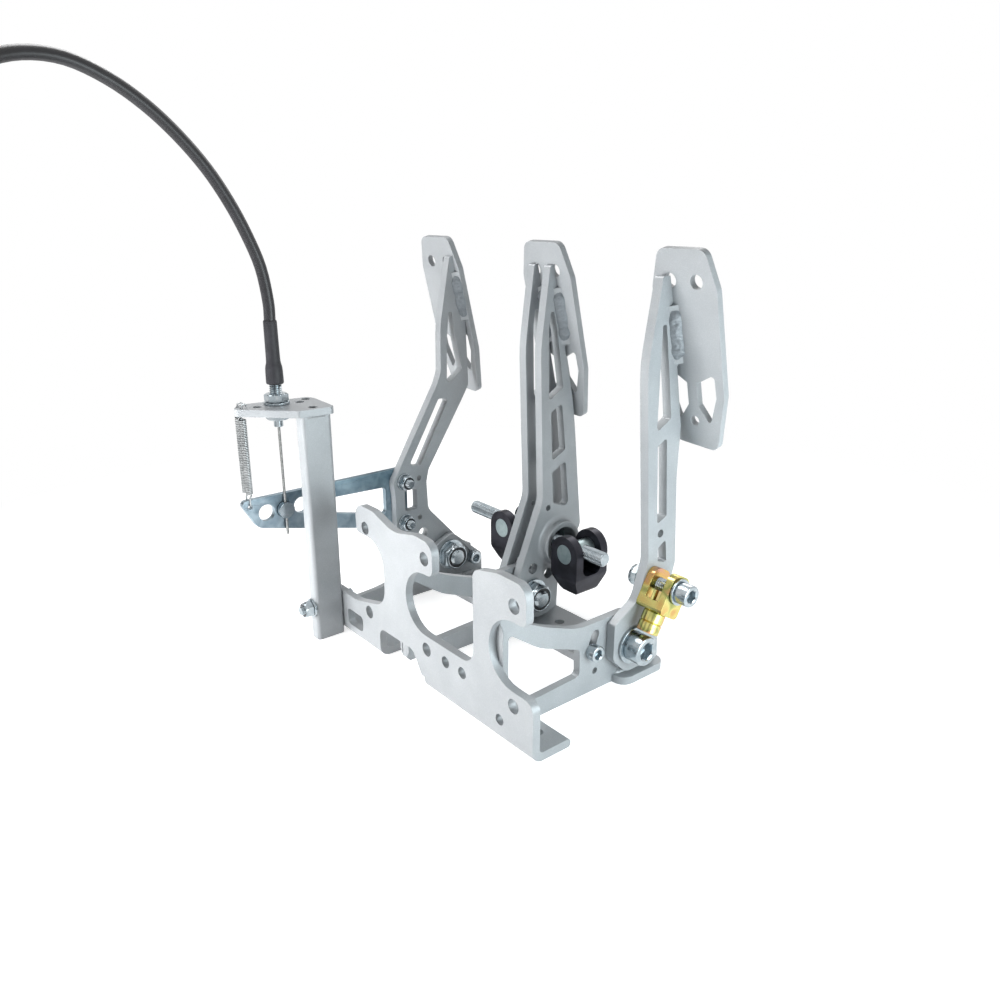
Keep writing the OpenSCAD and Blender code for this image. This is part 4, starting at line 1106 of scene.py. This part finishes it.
class PEDALS_OT_boot(bpy.types.Operator):
    """Turns the rubber boot over the end of the cable"""

    bl_idname = "pedals.boot"
    bl_label = "Cable boot"

    def execute(self, context):
        low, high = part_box("cable_boot")
        centre = (low + high) / 2
        boot = turned([(r * MM, h * MM) for r, h in BOOT_PROFILE], sides=64)
        part = placed(boot, Matrix.Translation((centre.x, centre.y, low.z)))
        dress(link_mesh("rubber_cable_boot", *part), "black_rubber", "frame", ["cable_boot"])
        return {"FINISHED"}


class PEDALS_OT_wire(bpy.types.Operator):
    """Twists the inner wire and its end below the clamp"""

    bl_idname = "pedals.wire"
    bl_label = "Inner wire"

    def execute(self, context):
        diameter = context.scene.pedal_cable.wire
        low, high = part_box("inner_wire")
        wire = link_mesh("twisted_inner_wire", *self.rope(low, high, diameter), WIRE_SHARP)
        dress(wire, "wire_rope", replaces=["inner_wire"])
        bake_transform(wire)
        low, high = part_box("clamp_wire_end")
        tail = link_mesh("twisted_wire_end", *self.rope(low, high, diameter), WIRE_SHARP)
        dress(tail, "wire_rope", "throttle_pedal", ["clamp_wire_end"])
        return {"FINISHED"}

    def rope(self, low, high, diameter):
        """Strands laid round a core, as one fluted skin."""
        centre = (low + high) / 2
        length = high.z - low.z
        rows = max(8, round(length / (ROPE_ROW * MM)))
        rings = []
        for i in range(rows + 1):
            z = length * i / rows
            ring = []
            for k in range(ROPE_SIDES):
                a = math.tau * k / ROPE_SIDES
                flute = abs(math.sin(STRANDS / 2 * (a - math.tau * z / (ROPE_LAY * MM))))
                r = diameter / 2 * (0.8 + 0.2 * flute)
                ring.append(Vector((centre.x + r * math.cos(a), centre.y + r * math.sin(a), low.z + z)))
            rings.append(ring)
        return skin(rings)


class PEDALS_OT_springs(bpy.types.Operator):
    """Winds the two return springs"""

    bl_idname = "pedals.springs"
    bl_label = "Return springs"

    def execute(self, context):
        settings = context.scene.pedal_cable
        low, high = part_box("return_springs")
        centre = (low + high) / 2
        radius = (settings.spring - settings.spring_wire) / 2
        bottom, top = SPRING_BOTTOM * MM, SPRING_TOP * MM
        steps_per_curl = 20
        steps = steps_per_curl * settings.curls
        coils = []
        for x in (centre.x - SPRING_OFF * MM, centre.x + SPRING_OFF * MM):
            points = []
            for i in range(steps + 1):
                a = math.tau * settings.curls * i / steps
                z = bottom + (top - bottom) * i / steps
                points.append((x + radius * math.cos(a), centre.y + radius * math.sin(a), z))
            coils.append(swept(points, settings.spring_wire / 2, sides=8))
        self.hooks(settings.spring_wire / 2, centre)
        springs = link_mesh("wound_return_springs", *merge(coils), WIRE_SHARP)
        dress(springs, "spring_steel", replaces=["return_springs"])
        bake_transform(springs)
        return {"FINISHED"}

    def hooks(self, radius, centre):
        """The springs' hooks: up through the top plate, and down through the lever."""
        upper, lower = [], []
        lead_up = [(a, -b, -c) for a, b, c in HOOK_LEAD]
        for side in (-1, 1):
            x = centre.x + side * SPRING_OFF * MM
            # The lower hooks turn in from both sides to the lever's one hole
            turn = [(side * a, b, c) for a, b, c in LOWER_HOOK]
            for hooks, height, line in ((upper, SPRING_TOP, lead_up + UPPER_HOOK),
                                        (lower, SPRING_BOTTOM, HOOK_LEAD + turn)):
                end = Vector((x, centre.y, height * MM))
                hooks.append(swept([end + Vector(p) * MM for p in smooth_line(line)], radius, sides=12))
        dress(link_mesh("upper_hooks", *merge(upper), WIRE_SHARP), "spring_steel", "frame",
              ["upper_spring_hooks"])
        dress(link_mesh("lower_hooks", *merge(lower), WIRE_SHARP), "spring_steel", "throttle_pedal",
              ["lower_spring_hooks"])


# The photograph's viewpoint: where the camera stands, in millimetres, where it looks, and
# its lens on a sensor 36 mm wide
CAMERA_PLACE = Vector((-406, 353, 274))
CAMERA_WAY = Vector((0.7308, -0.6003, -0.3247))
CAMERA_LENS = 31.14
SENSOR_WIDTH = 36

# Metres from here on. The floor's half width, how far it lies under the coil and the feet,
# and how far from the set its shading gives way to plain white
FLOOR_REACH = 4.0
FLOOR_DROP = 0.05 * MM
FLOOR_NEAR = 0.28
FLOOR_FAR = 0.55
# The white that the floor adds to its own shading where the camera or a gloss sees it
FLOOR_LIFT = 0.7
# How strongly the studio's white walls light the set
WALL_LIGHT = 0.1

# The lamps: name, place, width, power and colour. The key shines from the car's front, the
# fill stands near on the left, the top hangs on the right, and the rim is far behind
LAMP_TARGET = Vector((0, 0.03, 0.12))
LAMPS = (
    ("key", (0.13, 0.5, 0.11), 0.35, 4.6, (1, 1, 1)),
    ("fill", (-0.36, -0.01, 0.12), 0.22, 1.0, (0.87, 0.97, 1)),
    ("top", (0.28, 0.08, 0.62), 0.3, 1.8, (1, 1, 1)),
    ("rim", (0.5, -1.1, 0.9), 0.6, 3, (1, 1, 1)),
)

# The black cards: the middle, width and height of each
CARDS = (
    ((-0.9, 1.1, 0.35), 0.35, 0.5), ((-1.3, -0.3, 0.5), 0.4, 0.7), ((0.78, 0.6, 0.45), 0.5, 0.5),
    ((-0.5, 0.9, 1.5), 0.9, 0.5), ((0.8, -0.05, 0.8), 0.5, 0.5), ((0.95, -0.75, 0.55), 0.6, 0.4),
)


class PEDALS_OT_stage(bpy.types.Operator):
    """Sets the camera, the white floor and the studio lamps"""

    bl_idname = "pedals.stage"
    bl_label = "Stage"

    def execute(self, context):
        self.camera(context)
        self.floor()
        self.world(context)
        self.lamps(context)
        self.cards()
        context.scene.view_settings.view_transform = "Standard"
        return {"FINISHED"}

    def camera(self, context):
        """The photograph's viewpoint: 19 degrees above the set, from its front left corner."""
        data = bpy.data.cameras.new("camera")
        data.sensor_width = SENSOR_WIDTH
        data.lens = CAMERA_LENS
        camera = bpy.data.objects.new("camera", data)
        camera.location = CAMERA_PLACE * MM
        camera.rotation_euler = CAMERA_WAY.to_track_quat("-Z", "Y").to_euler()
        context.scene.collection.objects.link(camera)
        context.scene.camera = camera

    def oblong(self, name, wide, tall, material):
        """A flat piece of the stage, round its own middle."""
        corners = [(x * wide / 2, y * tall / 2, 0) for x, y in ((-1, -1), (1, -1), (1, 1), (-1, 1))]
        piece = link_mesh(name, corners, [(0, 1, 2, 3)])
        piece.data.materials.append(material)
        return piece

    def looked_at(self, tree):
        """One where the camera, a gloss or a clear piece looks at the surface, and nought elsewhere."""
        path = add_node(tree, "ShaderNodeLightPath")
        seen = add_node(tree, "ShaderNodeMath", {"operation": "MAXIMUM"},
                        {0: path.outputs["Is Camera Ray"], 1: path.outputs["Is Glossy Ray"]})
        clear = add_node(tree, "ShaderNodeMath", {"operation": "MAXIMUM"},
                         {0: seen.outputs[0], 1: path.outputs["Is Transmission Ray"]})
        return clear.outputs[0]

    def floor(self):
        """A white floor that keeps the shadow, and shows white to the camera and in gloss."""
        material = bpy.data.materials.new("white_floor")
        material.use_nodes = True
        tree = material.node_tree
        tree.nodes.clear()
        looked_at = self.looked_at(tree)
        # Past the object's shadow the floor is plain white, so it has no horizon
        where = add_node(tree, "ShaderNodeTexCoord")
        away = add_node(tree, "ShaderNodeVectorMath", {"operation": "LENGTH"},
                        {0: where.outputs["Object"]})
        far = add_node(tree, "ShaderNodeMapRange", {"From Min": FLOOR_NEAR, "From Max": FLOOR_FAR},
                       {"Value": away.outputs["Value"]})
        both_far = add_node(tree, "ShaderNodeMath", {"operation": "MULTIPLY"},
                            {0: far.outputs["Result"], 1: looked_at})
        lit = add_node(tree, "ShaderNodeBsdfDiffuse", {"Color": (0.8, 0.8, 0.8, 1)})
        lift = add_node(tree, "ShaderNodeMath", {"operation": "MULTIPLY", 1: FLOOR_LIFT}, {0: looked_at})
        glow = add_node(tree, "ShaderNodeEmission", {"Color": (1, 1, 1, 1)}, {"Strength": lift.outputs[0]})
        near = add_node(tree, "ShaderNodeAddShader", {}, {0: lit.outputs[0], 1: glow.outputs[0]})
        white = add_node(tree, "ShaderNodeEmission", {"Color": (1, 1, 1, 1), "Strength": 1.0})
        both = add_node(tree, "ShaderNodeMixShader", {},
                        {0: both_far.outputs[0], 1: near.outputs[0], 2: white.outputs[0]})
        add_node(tree, "ShaderNodeOutputMaterial", {}, {"Surface": both.outputs[0]})
        floor = self.oblong("floor", 2 * FLOOR_REACH, 2 * FLOOR_REACH, material)
        floor.location.z = -FLOOR_DROP

    def world(self, context):
        """Soft grey light all round, white where the camera or a gloss looks at it."""
        world = bpy.data.worlds.new("studio")
        context.scene.world = world
        world.use_nodes = True
        tree = world.node_tree
        tree.nodes.clear()
        strength = add_node(tree, "ShaderNodeMapRange", {"To Min": WALL_LIGHT, "To Max": 1.0},
                            {"Value": self.looked_at(tree)})
        sky = add_node(tree, "ShaderNodeBackground", {"Color": (1, 1, 1, 1)},
                       {"Strength": strength.outputs["Result"]})
        add_node(tree, "ShaderNodeOutputWorld", {}, {"Surface": sky.outputs[0]})

    def lamps(self, context):
        """The lamps, out of the camera's sight. The key doesn't show in gloss either."""
        for name, place, size, power, colour in LAMPS:
            lamp = bpy.data.lights.new(name, "AREA")
            lamp.size = size
            lamp.energy = power
            lamp.color = colour
            holder = bpy.data.objects.new(name, lamp)
            holder.location = place
            holder.rotation_euler = (LAMP_TARGET - Vector(place)).to_track_quat("-Z", "Y").to_euler()
            holder.visible_camera = False
            holder.visible_glossy = name != "key"
            context.scene.collection.objects.link(holder)

    def cards(self):
        """Black cards round the set, which only gloss sees, so that bright metal has its dark lines."""
        material = bpy.data.materials.new("black_card")
        material.use_nodes = True
        shader = material.node_tree.nodes["Principled BSDF"]
        shader.inputs["Base Color"].default_value = (0.01, 0.01, 0.01, 1)
        for number, (middle, wide, tall) in enumerate(CARDS, 1):
            card = self.oblong(f"black_card_{number}", wide, tall, material)
            card.location = middle
            card.rotation_euler = (-Vector(middle)).to_track_quat("Z", "Y").to_euler()
            card.visible_camera = False
            card.visible_diffuse = False
            card.visible_shadow = False


class PEDALS_PT_sidebar(bpy.types.Panel):
    """The settings and the steps, in the order that they run"""

    bl_idname = "PEDALS_PT_sidebar"
    bl_label = "Racing Pedals"
    bl_space_type = "VIEW_3D"
    bl_region_type = "UI"
    bl_category = "Pedals"

    def draw(self, context):
        layout = self.layout
        for group in (context.scene.pedal_finish, context.scene.pedal_hardware, context.scene.pedal_cable):
            box = layout.box()
            for name in group.bl_rna.properties.keys():
                if name not in ("rna_type", "name"):
                    box.prop(group, name)
        for operator in OPERATORS:
            layout.operator(operator.bl_idname)


SETTINGS = (FinishSettings, HardwareSettings, CableSettings)
OPERATORS = (
    PEDALS_OT_stage,
    PEDALS_OT_frame_finish,
    PEDALS_OT_cable,
    PEDALS_OT_boot,
    PEDALS_OT_wire,
    PEDALS_OT_springs,
    PEDALS_OT_screws,
    PEDALS_OT_nuts,
    PEDALS_OT_balance_bar,
    PEDALS_OT_welds,
)
CLASSES = SETTINGS + OPERATORS + (PEDALS_PT_sidebar,)


def register():
    for cls in CLASSES:
        bpy.utils.register_class(cls)
    bpy.types.Scene.pedal_finish = PointerProperty(type=FinishSettings)
    bpy.types.Scene.pedal_hardware = PointerProperty(type=HardwareSettings)
    bpy.types.Scene.pedal_cable = PointerProperty(type=CableSettings)


def unregister():
    del bpy.types.Scene.pedal_cable
    del bpy.types.Scene.pedal_hardware
    del bpy.types.Scene.pedal_finish
    for cls in reversed(CLASSES):
        bpy.utils.unregister_class(cls)


def main():
    """Runs every step in order."""
    register()
    for operator in OPERATORS:
        group, name = operator.bl_idname.split(".")
        getattr(getattr(bpy.ops, group), name)()


if __name__ == "__main__":
    main()
